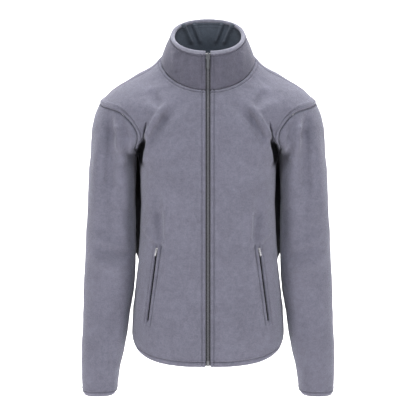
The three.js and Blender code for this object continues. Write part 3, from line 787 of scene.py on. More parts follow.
def border_loops(rows, columns, round_about):
    """Closed loops of point numbers round the open edges of a grid."""
    foot = np.arange(columns)
    head = (rows - 1) * columns + np.arange(columns)
    if round_about:
        return [(foot, foot + columns), (head, head - columns)]
    right = np.arange(1, rows - 1) * columns + columns - 1
    left = np.arange(1, rows - 1)[::-1] * columns
    loop = np.concatenate([foot, right, head[::-1], left])
    row = np.clip(loop // columns, 1, rows - 2)
    column = np.clip(loop % columns, 1, columns - 2)
    return [(loop, row * columns + column)]


def hole_loop(columns, low_row, high_row, low_column, high_column):
    """Loop of point numbers round a hole in a grid, and the points that lie outside it."""
    across = np.arange(low_column, high_column + 1)
    up = np.arange(low_row + 1, high_row)
    foot = low_row * columns + across
    right = up * columns + high_column
    head = high_row * columns + across
    left = up * columns + low_column
    loop = np.concatenate([foot, right, head[::-1], left[::-1]])
    beyond = np.concatenate([foot - columns, right + 1, head[::-1] + columns, left[::-1] - 1])
    return loop[::-1], beyond[::-1]


def wall_mesh(face, rear, round_about, hole=None):
    """Closed wall between two grids of points, its open edges rounded by one more loop
    that stands out from the middle of the edge by a third of the thickness. A hole is
    given as its lowest and highest row and column."""
    rows, columns = face.shape[:2]
    count = rows * columns
    points = [face.reshape(-1, 3), rear.reshape(-1, 3)]
    sheet = wall_faces(rows, columns, round_about)
    loops = border_loops(rows, columns, round_about)
    if hole:
        low_row, high_row, low_column, high_column = hole
        row, column = sheet[:, 0] // columns, sheet[:, 0] % columns
        cut = (row >= low_row) & (row < high_row)
        cut &= (column >= low_column) & (column < high_column)
        sheet = sheet[~cut]
        loops.append(hole_loop(columns, *hole))
    quads = [sheet, sheet[:, ::-1] + count]
    start = 2 * count
    for loop, inside in loops:
        middle = (points[0][loop] + points[1][loop]) / 2
        thickness = np.linalg.norm(points[0][loop] - points[1][loop], axis=1)[:, None]
        outward = unit(middle - (points[0][inside] + points[1][inside]) / 2)
        points.append(middle + outward * thickness * 0.3)
        ring = start + np.arange(len(loop))
        after = np.roll(np.arange(len(loop)), -1)
        strip = [loop[after], loop, ring, ring[after]]
        lower = [ring[after], ring, loop + count, loop[after] + count]
        if round_about and loop[0] != 0:
            strip.reverse()
            lower.reverse()
        quads += [np.stack(strip, axis=-1), np.stack(lower, axis=-1)]
        start += len(loop)
    points = np.concatenate(points)
    quads = np.concatenate(quads)
    used = np.unique(quads)
    number = np.zeros(len(points), dtype=int)
    number[used] = np.arange(len(used))
    return points[used], number[quads]


def cloth_normals(face, normals):
    """Normals halfway between those of the plain surface and those of the creased face."""
    along = np.gradient(face, axis=0)
    across = np.gradient(face, axis=1)
    found = unit(np.cross(across, along))
    found *= np.sign(np.einsum("ijk,ijk->", found, normals))
    return unit(found + normals)


def outward_quads(points, quads):
    """The quads, all turned round if the solid that they close has a negative volume."""
    a, b, c, d = (points[quads[:, i]] for i in range(4))
    volume = np.einsum("ij,ij->", a, np.cross(b, c)) + np.einsum("ij,ij->", a, np.cross(c, d))
    return quads if volume > 0 else quads[:, ::-1]


def new_piece(name, points, quads, material, smooth=True):
    """A mesh object at the origin, from points in millimetres and an array of quads."""
    mesh = bpy.data.meshes.new(name)
    mesh.from_pydata((points * MM).tolist(), [], quads.tolist())
    mesh.polygons.foreach_set("use_smooth", np.full(len(mesh.polygons), smooth))
    mesh.materials.append(material)
    mesh.update()
    piece = bpy.data.objects.new(name, mesh)
    bpy.context.scene.collection.objects.link(piece)
    return piece


def mirror_points(points):
    """The same points on the other side of the middle plane."""
    return points * np.array([-1.0, 1.0, 1.0])


def grid_area(face, round_about):
    """Area of a grid in square metres, from half the cross product of each quad's
    diagonals."""
    if round_about:
        face = np.concatenate([face, face[:, :1]], axis=1)
    first = face[1:, 1:] - face[:-1, :-1]
    second = face[1:, :-1] - face[:-1, 1:]
    return float(np.linalg.norm(np.cross(first, second), axis=-1).sum() / 2) * MM**2


def grid_size(face, round_about):
    """Longest row and middling column of a grid, in metres: the outer columns run along
    curved seams and are longer than the cut."""
    around = np.concatenate([face, face[:, :1]], axis=1) if round_about else face
    width = np.linalg.norm(np.diff(around, axis=1), axis=-1).sum(axis=1).max()
    length = np.median(np.linalg.norm(np.diff(face, axis=0), axis=-1).sum(axis=0))
    return float(width) * MM, float(length) * MM


def cloth_piece(
    name, plain, face, normals, depth, material, round_about=False, mirror=False, hole=None
):
    """One layer of cloth from its face and normals.
    Its flat size is measured on the plain surface, without folds."""
    rear = face - cloth_normals(face, normals) * depth
    points, quads = wall_mesh(face, rear, round_about, hole)
    if mirror:
        points = mirror_points(points)
    piece = new_piece(name, points, outward_quads(points, quads), material)
    # Painted shade between body and sleeve, kept as a point attribute of each panel
    if not round_about:
        shade_attribute = piece.data.attributes.new("underarm_painted_shade", "FLOAT", "POINT")
        shade_attribute.data.foreach_set("value", underarm_painted_shade(points))
    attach(piece, "garment")
    width, length = grid_size(plain, round_about)
    area = min(grid_area(plain, round_about), width * length)
    area = max(area, 0.3 * width * length)
    return piece


def principled(name):
    """A new material, its shader and its links."""
    material = bpy.data.materials.new(name)
    material.use_nodes = True
    nodes = material.node_tree.nodes
    return material, nodes["Principled BSDF"], nodes, material.node_tree.links


def noise_value(nodes, links, place, scale, detail):
    """A noise texture's value over the object's own coordinates."""
    noise = nodes.new("ShaderNodeTexNoise")
    noise.inputs["Scale"].default_value = scale
    noise.inputs["Detail"].default_value = detail
    links.new(place.outputs["Object"], noise.inputs["Vector"])
    return noise.outputs["Fac"]


def math_value(nodes, links, operation, *values):
    """The value of a maths node whose inputs are numbers or other nodes' outputs."""
    result = nodes.new("ShaderNodeMath")
    result.operation = operation
    for socket, value in zip(result.inputs, values):
        if isinstance(value, float):
            socket.default_value = value
        else:
            links.new(value, socket)
    return result.outputs["Value"]


def pile_group():
    """Brushed pile: noises of four sizes give a mottling and a height, and the cloth's painted shade
    attribute darkens the colour between body and sleeve, where no light falls; what is left
    unshaded also scales the sheen."""
    group = bpy.data.node_groups.new("brushed_pile", "ShaderNodeTree")
    for name, direction, kind in (
        ("Colour", "INPUT", "Color"), ("Mottle", "INPUT", "Float"), ("Relief", "INPUT", "Float"),
        ("Colour", "OUTPUT", "Color"), ("Unshaded", "OUTPUT", "Float"), ("Normal", "OUTPUT", "Vector"),
    ):
        group.interface.new_socket(name, in_out=direction, socket_type=f"NodeSocket{kind}")
    nodes, links = group.nodes, group.links
    source = nodes.new("NodeGroupInput")
    result = nodes.new("NodeGroupOutput")
    place = nodes.new("ShaderNodeTexCoord")
    noise = {name: noise_value(nodes, links, place, *row) for name, row in PILE_NOISES.items()}
    fine = math_value(nodes, links, "MULTIPLY_ADD", noise["fibre"], 0.8, noise["tuft"])
    slow = math_value(nodes, links, "MULTIPLY_ADD", noise["broad"], 0.7, noise["patch"])
    both = math_value(nodes, links, "MULTIPLY_ADD", slow, 0.8, fine)
    shade = nodes.new("ShaderNodeMapRange")
    for name, value in (("From Min", 1.15), ("From Max", 2.0), ("To Min", -1.0), ("To Max", 1.0)):
        shade.inputs[name].default_value = value
    links.new(both, shade.inputs["Value"])
    mottle = source.outputs["Mottle"]
    gain = math_value(nodes, links, "MULTIPLY_ADD", shade.outputs["Result"], mottle, 1.0)
    # Painted shade: a point attribute that takes colour and sheen away between body and sleeve
    shade_attribute = nodes.new("ShaderNodeAttribute")
    shade_attribute.attribute_name = "underarm_painted_shade"
    unshaded_part = math_value(nodes, links, "SUBTRACT", 1.0, shade_attribute.outputs["Fac"])
    tint = nodes.new("ShaderNodeVectorMath")
    tint.operation = "SCALE"
    links.new(source.outputs["Colour"], tint.inputs[0])
    links.new(math_value(nodes, links, "MULTIPLY", gain, unshaded_part), tint.inputs["Scale"])
    bump = nodes.new("ShaderNodeBump")
    bump.inputs["Distance"].default_value = PILE_BUMP
    links.new(source.outputs["Relief"], bump.inputs["Strength"])
    links.new(fine, bump.inputs["Height"])
    links.new(tint.outputs["Vector"], result.inputs["Colour"])
    links.new(unshaded_part, result.inputs["Unshaded"])
    links.new(bump.outputs["Normal"], result.inputs["Normal"])
    return group


def fleece_material(name, colour, sheen, mottle, relief):
    """Fleece: brushed pile over a matt base, with sheen."""
    material, shader, nodes, links = principled(name)
    group = bpy.data.node_groups.get("brushed_pile") or pile_group()
    pile = nodes.new("ShaderNodeGroup")
    pile.node_tree = group
    pile.inputs["Colour"].default_value = (*colour, 1)
    pile.inputs["Mottle"].default_value = mottle
    pile.inputs["Relief"].default_value = relief
    links.new(pile.outputs["Colour"], shader.inputs["Base Color"])
    links.new(pile.outputs["Normal"], shader.inputs["Normal"])
    shader.inputs["Roughness"].default_value = 0.95
    shader.inputs["Specular IOR Level"].default_value = 0.15
    # The sheen is taken away with the painted shade between body and sleeve
    pile_sheen = math_value(nodes, links, "MULTIPLY", pile.outputs["Unshaded"], sheen)
    links.new(pile_sheen, shader.inputs["Sheen Weight"])
    shader.inputs["Sheen Roughness"].default_value = 0.55
    shader.inputs["Sheen Tint"].default_value = (0.86, 0.86, 0.95, 1)
    return material


def trim_material(name, colour, roughness, metallic, grain_scale, relief):
    """Thread, tape, coil or metal: one colour broken by a fine grain in colour and height."""
    material, shader, nodes, links = principled(name)
    place = nodes.new("ShaderNodeTexCoord")
    grain = nodes.new("ShaderNodeTexNoise")
    grain.inputs["Scale"].default_value = grain_scale
    grain.inputs["Detail"].default_value = 4.0
    links.new(place.outputs["Object"], grain.inputs["Vector"])
    ramp = nodes.new("ShaderNodeValToRGB")
    ramp.color_ramp.elements[0].position = 0.3
    ramp.color_ramp.elements[0].color = (*(value * 0.72 for value in colour), 1)
    ramp.color_ramp.elements[1].position = 0.7
    ramp.color_ramp.elements[1].color = (*(min(value * 1.2, 1) for value in colour), 1)
    links.new(grain.outputs["Fac"], ramp.inputs["Fac"])
    links.new(ramp.outputs["Color"], shader.inputs["Base Color"])
    bump = nodes.new("ShaderNodeBump")
    bump.inputs["Distance"].default_value = 0.0002
    bump.inputs["Strength"].default_value = relief
    links.new(grain.outputs["Fac"], bump.inputs["Height"])
    links.new(bump.outputs["Normal"], shader.inputs["Normal"])
    shader.inputs["Roughness"].default_value = roughness
    shader.inputs["Metallic"].default_value = metallic
    return material


def material_named(name):
    """The jacket's materials, each built the first time it is asked for."""
    found = bpy.data.materials.get(name)
    if found:
        return found
    cloth = bpy.context.scene.jacket_cloth
    trim = bpy.context.scene.jacket_trim
    fleeces = {
        "brushed_outside": (cloth.body_colour, cloth.sheen, 0.24, 0.8),
        "brushed_collar": (cloth.collar_colour, cloth.sheen, 0.24, 0.8),
        # The rim's lighter colour is painted light on its rolled top
        "brushed_rim_painted_light": (cloth.rim_lit_colour, cloth.sheen, 0.2, 0.8),
        # The inside's dark colour is painted shade
        "brushed_inside_painted_shade": (cloth.inside_shade_colour, 0.1, 0.2, 0.5),
    }
    trims = {
        "thread": (trim.thread_colour, 0.6, 0.0, 2500.0, 0.3),
        "zip_tape": (trim.tape_colour, 0.85, 0.0, 1500.0, 0.6),
        "zip_coil": (trim.coil_colour, 0.45, 0.0, 700.0, 0.2),
        "zip_metal": (trim.metal_colour, 0.45, 1.0, 400.0, 0.15),
    }
    if name in fleeces:
        return fleece_material(name, *fleeces[name])
    return trim_material(name, *trims[name])


def along_line(points, spacing):
    """Points at even spacing along a polyline."""
    pieces = np.linalg.norm(np.diff(points, axis=0), axis=1)
    lengths = np.concatenate([[0], np.cumsum(pieces)])
    places = np.arange(spacing / 2, lengths[-1], spacing)
    return np.stack([np.interp(places, lengths, points[:, i]) for i in range(3)], axis=1)


STITCH_RING = np.array(
    [(math.cos(math.pi / 3 * k), max(math.sin(math.pi / 3 * k), -0.4)) for k in range(6)]
)


def stitch_mesh(line, normals):
    """A row of stitches: each is a six-sided thread whose four sections swell from a small
    end to the full width and sink back, set along the line at the stitch pitch."""
    trim = bpy.context.scene.jacket_trim
    pitch = trim.stitch_pitch / MM
    half = trim.stitch_length / MM / 2
    width = trim.stitch_width / MM / 2
    centres = along_line(line, pitch)
    ups = unit(along_line(line + normals * 10, pitch)[: len(centres)] - centres)
    if len(ups) < len(centres):
        centres = centres[: len(ups)]
    runs = unit(np.gradient(centres, axis=0))
    sides = unit(np.cross(runs, ups))
    shares = np.array([-1.0, -0.55, 0.55, 1.0])
    sizes = np.array([0.35, 1.0, 1.0, 0.35])
    sinks = np.array([-0.5, 0.15, 0.15, -0.5])
    centre = centres[:, None, None, :]
    run = runs[:, None, None, :]
    up = ups[:, None, None, :]
    side = sides[:, None, None, :]
    share = shares[None, :, None, None]
    size = sizes[None, :, None, None]
    sink = sinks[None, :, None, None]
    ring_x = STITCH_RING[None, None, :, 0, None]
    ring_y = STITCH_RING[None, None, :, 1, None]
    points = centre + run * share * half + up * sink * width
    points = points + (side * ring_x + up * ring_y) * width * size
    count = len(centres)
    base = wall_faces(4, 6, True)
    quads = (np.arange(count)[:, None, None] * 24 + base[None]).reshape(-1, 4)
    caps = np.array([[0, 5, 4, 3], [0, 3, 2, 1], [18, 19, 20, 21], [18, 21, 22, 23]])
    caps = (np.arange(count)[:, None, None] * 24 + caps[None]).reshape(-1, 4)
    points = points.reshape(-1, 3)
    quads = np.concatenate([quads, caps])
    return points, outward_quads(points, quads)


def join_meshes(parts):
    """Points and quads of several meshes as one."""
    start = 0
    points, quads = [], []
    for part_points, part_quads in parts:
        points.append(part_points)
        quads.append(part_quads + start)
        start += len(part_points)
    return np.concatenate(points), np.concatenate(quads)


def stitch_piece(name, lines, mirror=False, both=False):
    """Stitches along several (line, normals) pairs, as one piece."""
    points, quads = join_meshes([stitch_mesh(line, normals) for line, normals in lines])
    if both:
        other = mirror_points(points)
        points, quads = join_meshes([(points, quads), (other, quads[:, ::-1])])
    elif mirror:
        points, quads = mirror_points(points), quads[:, ::-1]
    piece = new_piece(name, points, quads, material_named("thread"))
    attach(piece, "garment")
    return piece


def pocket_offsets(points):
    """Place of front points about the pocket line as seen from the front: how far along
    it from its top, and how far to its outer side."""
    top = np.array(POCKET_TOP)
    line = np.array(POCKET_FOOT) - top
    length = np.linalg.norm(line)
    run = line / length
    beside = np.array([-run[1], run[0]])
    seen = points[..., [0, 2]] - top
    return seen @ run, seen @ beside, length


def body_forward(turn, height):
    """How far forward of the side seam a point is, from 1 in front to -1 behind."""
    return ring_point(body_ring_at(height), turn)[1]


def pocket_relief(points):
    """Lips beside the pocket's slit and the sewn grooves of its welt."""
    along, beside, length = pocket_offsets(points)
    share = np.clip(along / length, 0, 1)
    inside = smooth_step(along, -8, -5) * (1 - smooth_step(along, length + 4, length + 7))
    slit = smooth_step(along, -3, 0) * (1 - smooth_step(along, length, length + 3))
    relief = 2.2 * (bell(beside, 4.4, 1.9) + bell(beside, -4.4, 2.0)) * inside
    relief -= 1.8 * bell(beside, 0, 2.0) * slit
    first, last = POCKET_INNER_STITCH
    inner_line = first + (last - first) * share
    relief -= (3.4 - 1.6 * share) * bell(beside, inner_line, 1.4) * inside
    relief -= (0.5 + 0.9 * share) * bell(beside, POCKET_OUTER_STITCH, 1.3) * inside
    bars = bell(along, -5, 1.3) + bell(along, length + 4.5, 1.3)
    return relief - 1.2 * bars * (1 - smooth_step(np.abs(beside), 7, 9))


def pocket_calm(points):
    """0 on the pocket and 1 away from it."""
    along, beside, length = pocket_offsets(points)
    beyond = np.maximum(np.maximum(-along, along - length), 0)
    return smooth_step(np.hypot(beside, beyond), 7, 18)


def body_cloth(turn, height, zip_distance, side_distance):
    """Face of the body's cloth: turned edges, the zip's topstitching, the raised armhole
    band, the neck's and the hem's stitch lines, the pocket, creases and unevenness."""
    points = body_surface(turn, height)
    normals = body_normal(turn, height)
    forward = body_forward(turn, height)
    right_half = np.concatenate([np.abs(points[..., :1]), points[..., 1:]], axis=-1)
    armhole = seam_distance(right_half, armhole_line(0.0, 1.0))
    neck = seam_distance(points, neck_line())
    hem = seam_distance(points, hem_line())
    run = turn * BODY_RADIUS
    relief = edge_roll(zip_distance) + stitch_groove(zip_distance, ZIP_STITCH)
    relief += pucker(zip_distance, ZIP_STITCH, points[..., 2])
    relief += 1.6 * (1 - smooth_step(armhole, 9.0, 11.5))
    relief += stitch_groove(armhole, ARMHOLE_STITCH, 2.0)
    relief += edge_roll(np.minimum(armhole, side_distance))
    for seam, line, depth in ((neck, NECK_STITCH, 1.4), (hem, HEM_STITCH, 1.8)):
        relief += edge_roll(seam) + stitch_groove(seam, line, depth) + pucker(seam, line, run)
    front = forward > 0
    calm = np.where(front, pocket_calm(points), 1)
    relief += crease_relief(BODY_CREASES, points, forward) * calm
    relief += rumple(points) * smooth_step(zip_distance, 8, 60) * calm
    relief += np.where(front, pocket_relief(right_half), 0)
    face = points + normals * relief[..., None]
    pleat = pleat_depth(right_half[..., 0], right_half[..., 2]) * np.where(front, 1, 0)
    face[..., 1] += pleat * smooth_step(np.minimum(armhole, side_distance), 0.5, 4)
    return face, normals


def underarm_painted_shade(points):
    """Painted shade in the closed space between body and sleeve and down in the armpit's pleat:
    from 0 in the open to nearly 1 deep inside, where no light falls; it darkens the fleece's
    colour and sheen."""
    side, y, z = np.abs(points[:, 0]), points[:, 1], points[:, 2]
    low = smooth_step(z, -462, -436)
    # Painted shade on the body's side behind the sleeve
    behind = smooth_step(y, -20, 8) * (1 - smooth_step(y, 66, 84)) * smooth_step(side, 128, 140)
    behind = behind * low * (1 - smooth_step(z, -190, -165))
    # Painted shade down in the armpit's pleat
    pleat = smooth_step(y, -72, -58) * smooth_step(side, 130, 138) * smooth_step(z, -240, -224)
    pleat = pleat * (1 - smooth_step(side, 159, 163)) * (1 - smooth_step(z, -184, -170))
    pleat = pleat * (1 - smooth_step(y, -10, 15))
    return 0.94 * np.maximum(behind, pleat)


def build_front(side, mirror):
    """One front panel, from the zip to the side seam, armhole and shoulder seam, with the
    pocket's slit cut between two of its columns."""
    cloth = bpy.context.scene.jacket_cloth
    step = cloth.grid_step / MM
    heights = body_heights(step)
    first = turn_at_x(body_ring_at(heights), FRONT_EDGE_X)
    last = outer_turn(heights, "front_turn")
    turns, points, lengths = row_lengths(body_surface, heights, first, last)
    places, middle = front_places(lengths, points, step)
    turns = turns_at(places, lengths, turns)
    rows = np.repeat(heights[:, None], turns.shape[1], axis=1)
    face, normals = body_cloth(turns, rows, places, lengths[:, -1:] - places)
    along, _, length = pocket_offsets(body_surface(turns[:, middle], heights))
    cut_rows = np.nonzero((along > 0) & (along < length))[0]
    piece = cloth_piece(
        f"fleece_front_{side}", body_surface(turns, rows), face, normals, cloth.wall / MM,
        material_named("brushed_outside"), mirror=mirror,
        hole=(cut_rows[0], cut_rows[-1], middle - 2, middle + 2),
    )
    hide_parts(f"front_{side}")


def build_back():
    """The back panel, from one side seam round to the other."""
    cloth = bpy.context.scene.jacket_cloth
    step = cloth.grid_step / MM
    heights = body_heights(step)
    edge = math.pi - outer_turn(heights, "back_turn")
    turns, _, lengths = row_lengths(body_surface, heights, edge, 2 * math.pi - edge)
    places = back_places(lengths, step * 1.25)
    turns = turns_at(places, lengths, turns)
    rows = np.repeat(heights[:, None], turns.shape[1], axis=1)
    rest = lengths[:, -1:] - places
    face, normals = body_cloth(
        turns, rows, np.full_like(turns, NO_EDGE), np.minimum(places, rest)
    )
    piece = cloth_piece(
        "fleece_back", body_surface(turns, rows), face, normals, cloth.wall / MM,
        material_named("brushed_outside"),
    )
    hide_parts("back")


def sleeve_cloth(around, along):
    """Face of a sleeve: turned edge and swell at the armhole, cuff hem, creases,
    unevenness and the underarm seam."""
    points = sleeve_surface(around, along)
    normals = sleeve_normal(around, along)
    armhole = seam_distance(points, armhole_line(0.0, 1.0))
    cuff = (2 - along) * (SLEEVE_TOP_LEVEL - CUFF_LEVEL)
    relief = edge_roll(armhole) + 0.9 * bell(armhole, 5, 3)
    relief += stitch_groove(cuff, CUFF_STITCH, 1.8)
    relief += pucker(cuff, CUFF_STITCH, around * SLEEVE_GIRTH) - 3.2 * np.exp(-((cuff / 4.5) ** 2))
    forward = np.sin(around * 2 * math.pi)
    relief += crease_relief(SLEEVE_CREASES, points, forward) * smooth_step(along, 0.02, 0.3)
    relief += rumple(points) * smooth_step(along, 0, 0.5)
    seam = np.minimum(np.abs(around - 0.055), np.abs(around - 1.055)) * 330
    relief -= 1.2 * np.exp(-((seam / 1.6) ** 2)) * smooth_step(along, 1.0, 1.1)
    return points + normals * relief[..., None], normals


def build_sleeve(side, mirror):
    """One sleeve, a tube from the armhole seam to the cuff."""
    cloth = bpy.context.scene.jacket_cloth
    step = cloth.grid_step / MM
    shares = 1 - (1 - np.linspace(0, 1, 72)) ** 1.25
    around = np.concatenate([shares / 2, 1 - shares[1:-1][::-1] / 2])
    head = np.linspace(0, 1, 42) ** 1.3
    arm_length = SLEEVE_TOP_LEVEL - CUFF_LEVEL
    arm = np.linspace(1, 2 - 14 / arm_length, even_steps(arm_length - 14, step * 1.1))
    cuff = np.linspace(arm[-1], 2, 13)
    along = np.concatenate([head, arm[1:], cuff[1:]])
    turns = np.repeat(around[None, :], len(along), axis=0)
    rows = np.repeat(along[:, None], len(around), axis=1)
    face, normals = sleeve_cloth(turns, rows)
    piece = cloth_piece(
        f"fleece_sleeve_{side}", sleeve_surface(turns, rows), face, normals,
        cloth.wall / MM, material_named("brushed_outside"), round_about=True, mirror=mirror,
    )
    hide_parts(f"sleeve_{side}")
    build_overlock(side, mirror)


def build_overlock(side, mirror):
    """Overlocked seam allowance under the armhole seam, a round cord of twelve corners."""
    turn, height = armhole_place(np.linspace(0, 1, 241)[:-1])
    line = body_surface(turn, height)
    up = body_normal(turn, height)
    run = unit(np.roll(line, -1, axis=0) - np.roll(line, 1, axis=0))
    side_way = unit(np.cross(run, up))
    angles = np.linspace(0, 2 * math.pi, 13)[:-1]
    ring = side_way[:, None, :] * np.cos(angles)[None, :, None]
    ring = ring + up[:, None, :] * np.sin(angles)[None, :, None]
    points = (line - up * OVERLOCK_DEPTH)[:, None, :] + ring * OVERLOCK_RADIUS
    rows = np.concatenate([points, points[:1]])
    quads = wall_faces(len(rows), len(angles), True) % (len(line) * len(angles))
    points = points.reshape(-1, 3)
    if mirror:
        points = mirror_points(points)
    # Inside fleece, darkened as painted shade
    piece = new_piece(
        f"armhole_overlock_{side}", points, outward_quads(points, quads),
        material_named("brushed_inside_painted_shade"),
    )
    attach(piece, "garment")


def collar_grid(columns, rises):
    """Turns and rises of a collar grid, its ends at the zip."""
    first = turn_at_x(collar_ring_at(rises), FRONT_EDGE_X)
    share = np.linspace(0, 1, columns)
    turns = first[:, None] + (2 * math.pi - 2 * first)[:, None] * share
    return turns, np.repeat(rises[:, None], columns, axis=1)


def collar_cloth(turn, rise):
    """Face of the collar's outer layer: turned edges, topstitching along the rim and the
    zip, soft creases and unevenness."""
    points = collar_surface(turn, rise)
    normals = collar_normal(turn, rise)
    below_rim = (1 - rise) * COLLAR_HEIGHT
    above_seam = rise * COLLAR_HEIGHT
    in_front = points[..., 1] < 0
    zip_distance = np.where(in_front, np.abs(points[..., 0]) - FRONT_EDGE_X, NO_EDGE)
    relief = edge_roll(above_seam) + stitch_groove(below_rim, RIM_STITCH, 1.6)
    relief += pucker(below_rim, RIM_STITCH, turn * COLLAR_RADIUS)
    relief += edge_roll(zip_distance) + stitch_groove(zip_distance, ZIP_STITCH)
    face = np.where(in_front, 1, -1)
    creases = fold_height(
        COLLAR_OUTER_CREASES, face, np.abs(points[..., 0]), points[..., 2]
    )
    relief += (creases + 0.6 * rumple(points)) * smooth_step(zip_distance, 8, 40)
    return points + normals * relief[..., None], normals


def build_collar():
    """The collar: an outer and an inner layer, and a rolled rim over both."""
    cloth = bpy.context.scene.jacket_cloth
    depth = cloth.wall / MM
    turns, rows = collar_grid(300, np.linspace(0.004, 1, 64))
    face, normals = collar_cloth(turns, rows)
    outer = cloth_piece(
        "fleece_collar_outer", collar_surface(turns, rows), face, normals, depth,
        material_named("brushed_collar"),
    )
    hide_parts("collar_outer")
    base = collar_surface(turns, rows)
    below_rim = (1 - rows) * COLLAR_HEIGHT
    inner_relief = stitch_groove(below_rim, LINING_STITCH, 1.2)
    behind = np.where(base[..., 1] < 8, 1, -1)
    inner_relief += fold_height(COLLAR_CREASES, behind, np.abs(base[..., 0]), base[..., 2])
    inner_relief = np.maximum(inner_relief, -LINING_PLAY)
    inner_face = base - normals * COLLAR_LAYER_DEPTH
    inner_rear = normals * (depth + inner_relief[..., None])
    points, quads = wall_mesh(inner_face, inner_face - inner_rear, False)
    inner = new_piece(
        # The inner layer takes the inside fleece, darkened as painted shade
        "fleece_collar_inner", points, outward_quads(points, quads),
        material_named("brushed_inside_painted_shade"),
    )
    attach(inner, "garment")
    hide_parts("collar_inner")
    build_rim(depth)


def build_rim(depth):
    """Rolled rim: a flat oval section carried along the top edges of both layers."""
    turns, rows = collar_grid(300, np.array([1.0]))
    edge = collar_surface(turns[0], rows[0])
    normals = collar_normal(turns[0], rows[0])
    lower = collar_surface(turns[0], rows[0] - 0.05)
    up = unit(edge - lower)
    half = (COLLAR_LAYER_DEPTH + depth) / 2
    middle = edge - normals * half
    angles = np.linspace(0, 2 * math.pi, 25)[:-1]
    out = np.sign(np.cos(angles)) * np.abs(np.cos(angles)) ** 0.7 * (half + 1.9)
    rise = np.sin(angles) * 4.6 - 3.0
    section = middle[:, None, :] + normals[:, None, :] * out[None, :, None]
    section = section + up[:, None, :] * rise[None, :, None]
    count = len(angles)
    points = section.reshape(-1, 3)
    quads = wall_faces(len(edge), count, True)
    caps = []
    for start, turn_round in ((0, False), ((len(edge) - 1) * count, True)):
        for k in range(count // 2 - 1):
            cap = [start + k, start + k + 1, start + count - 2 - k, start + count - 1 - k]
            caps.append(cap if not turn_round else cap[::-1])
    quads = np.concatenate([quads, np.array(caps)])
    # The rim takes the lighter rim fleece, painted light on its rolled top
    piece = new_piece(
        "fleece_collar_rim", points, outward_quads(points, quads), material_named("brushed_rim_painted_light")
    )
    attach(piece, "garment")


def centre_frame(count_body, count_collar):
    """Points, normals and a side direction of the centre front from the hem to the rim."""
    heights = np.linspace(HEM_HEIGHT + 3, NECK_HEIGHT, count_body)
    zeros = np.zeros_like(heights)
    body = body_surface(zeros, heights), body_normal(zeros, heights)
    rises = np.linspace(0.01, 0.98, count_collar)
    zeros = np.zeros_like(rises)
    collar = collar_surface(zeros, rises), collar_normal(zeros, rises)
    return np.concatenate([body[0], collar[0]]), np.concatenate([body[1], collar[1]])


def resampled(points, normals, pitch):
    """The same line and normals at an even pitch."""
    pieces = np.linalg.norm(np.diff(points, axis=0), axis=1)
    lengths = np.concatenate([[0], np.cumsum(pieces)])
    places = np.arange(0, lengths[-1], pitch)
    line = np.stack([np.interp(places, lengths, points[:, i]) for i in range(3)], axis=1)
    up = np.stack([np.interp(places, lengths, normals[:, i]) for i in range(3)], axis=1)
    return line, unit(up)


def coil_mesh(line, normals, half_width, face_depth, turn_height):
    """Zip coil: each turn is a small bent bar that leans from the middle to its side and
    rounds over, and the two sides alternate."""
    runs = unit(np.gradient(line, axis=0))
    sides = unit(np.cross(runs, normals))
    flip = np.where(np.arange(len(line)) % 2 == 0, 1.0, -1.0)[:, None]
    out = np.array([-0.28, 0.0, 0.6, 1.0, 1.02])
    high = np.array([-0.25, 0.0, 0.0, -0.3, -1.0])
    lean = np.array([0.5, 0.25, 0.0, 0.0, 0.0])
    size = np.array([0.62, 0.8, 0.62, 0.55, 0.5])
    centre = line[:, None, :] + (sides * flip)[:, None, :] * (out * half_width)[None, :, None]
    centre = centre + normals[:, None, :] * (high * turn_height - face_depth)[None, :, None]
    pitch = np.linalg.norm(line[1] - line[0])
    centre = centre + runs[:, None, :] * (lean * pitch)[None, :, None]
    angles = np.arange(4) * math.pi / 2 + math.pi / 4
    ring_run = np.cos(angles)[None, None, :, None] * runs[:, None, None, :]
    ring_up = np.sin(angles)[None, None, :, None] * normals[:, None, None, :]
    points = centre[:, :, None, :] + (ring_run + ring_up) * (size * 0.75)[None, :, None, None]
    base = wall_faces(5, 4, True)
    caps = np.array([[3, 2, 1, 0], [16, 17, 18, 19]])
    one = np.concatenate([base, caps])
    quads = (np.arange(len(line))[:, None, None] * 20 + one[None])
    odd = (np.arange(len(line)) % 2 == 1)[:, None, None]
    quads = np.where(odd, quads[..., ::-1], quads).reshape(-1, 4)
    points = points.reshape(-1, 3)
    return points, outward_quads(points, quads)


def strip_mesh(line, normals, low, high, face_depth, rear_depth):
    """Flat strip beside a line, between two distances from it and two depths below it."""
    sides = unit(np.cross(unit(np.gradient(line, axis=0)), normals))
    across = np.linspace(low, high, 9)
    centre = line[:, None, :] + sides[:, None, :] * across[None, :, None]
    face = centre - normals[:, None, :] * face_depth
    rear = centre - normals[:, None, :] * rear_depth
    return wall_mesh(face, rear, False)


def build_front_zip():
    """Tapes and coil of the front zip; the slider, pull and box keep their solids."""
    points, normals = centre_frame(160, 36)
    tape_line, tape_normals = resampled(points, normals, 6.0)
    for side, sign in (("left", 1), ("right", -1)):
        low, high = sorted((sign * 0.2, sign * 15.5))
        tape_points, quads = strip_mesh(tape_line, tape_normals, low, high, 2.7, 3.2)
        tape = new_piece(
            f"woven_tape_{side}", tape_points, outward_quads(tape_points, quads),
            material_named("zip_tape"),
        )
        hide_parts(f"zip_tape_{side}")
        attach(tape, "garment")
    pitch = bpy.context.scene.jacket_trim.coil_pitch / MM
    line, ups = resampled(points[3:], normals[3:], pitch / 2)
    coil_points, quads = coil_mesh(line, ups, 2.7, 1.3, 1.2)
    coil = new_piece("zip_coil_front", coil_points, quads, material_named("zip_coil"))
    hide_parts("zip_chain")
    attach(coil, "garment")
    for node in ("zip_box", "zip_slider", "zip_pull"):
        dress_node(node)


def dress_node(name):
    """Metal for a node whose own solid shows."""
    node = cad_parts[name]
    for slot in node.material_slots:
        slot.material = material_named("zip_metal")
    if not node.material_slots:
        node.data.materials.append(material_named("zip_metal"))


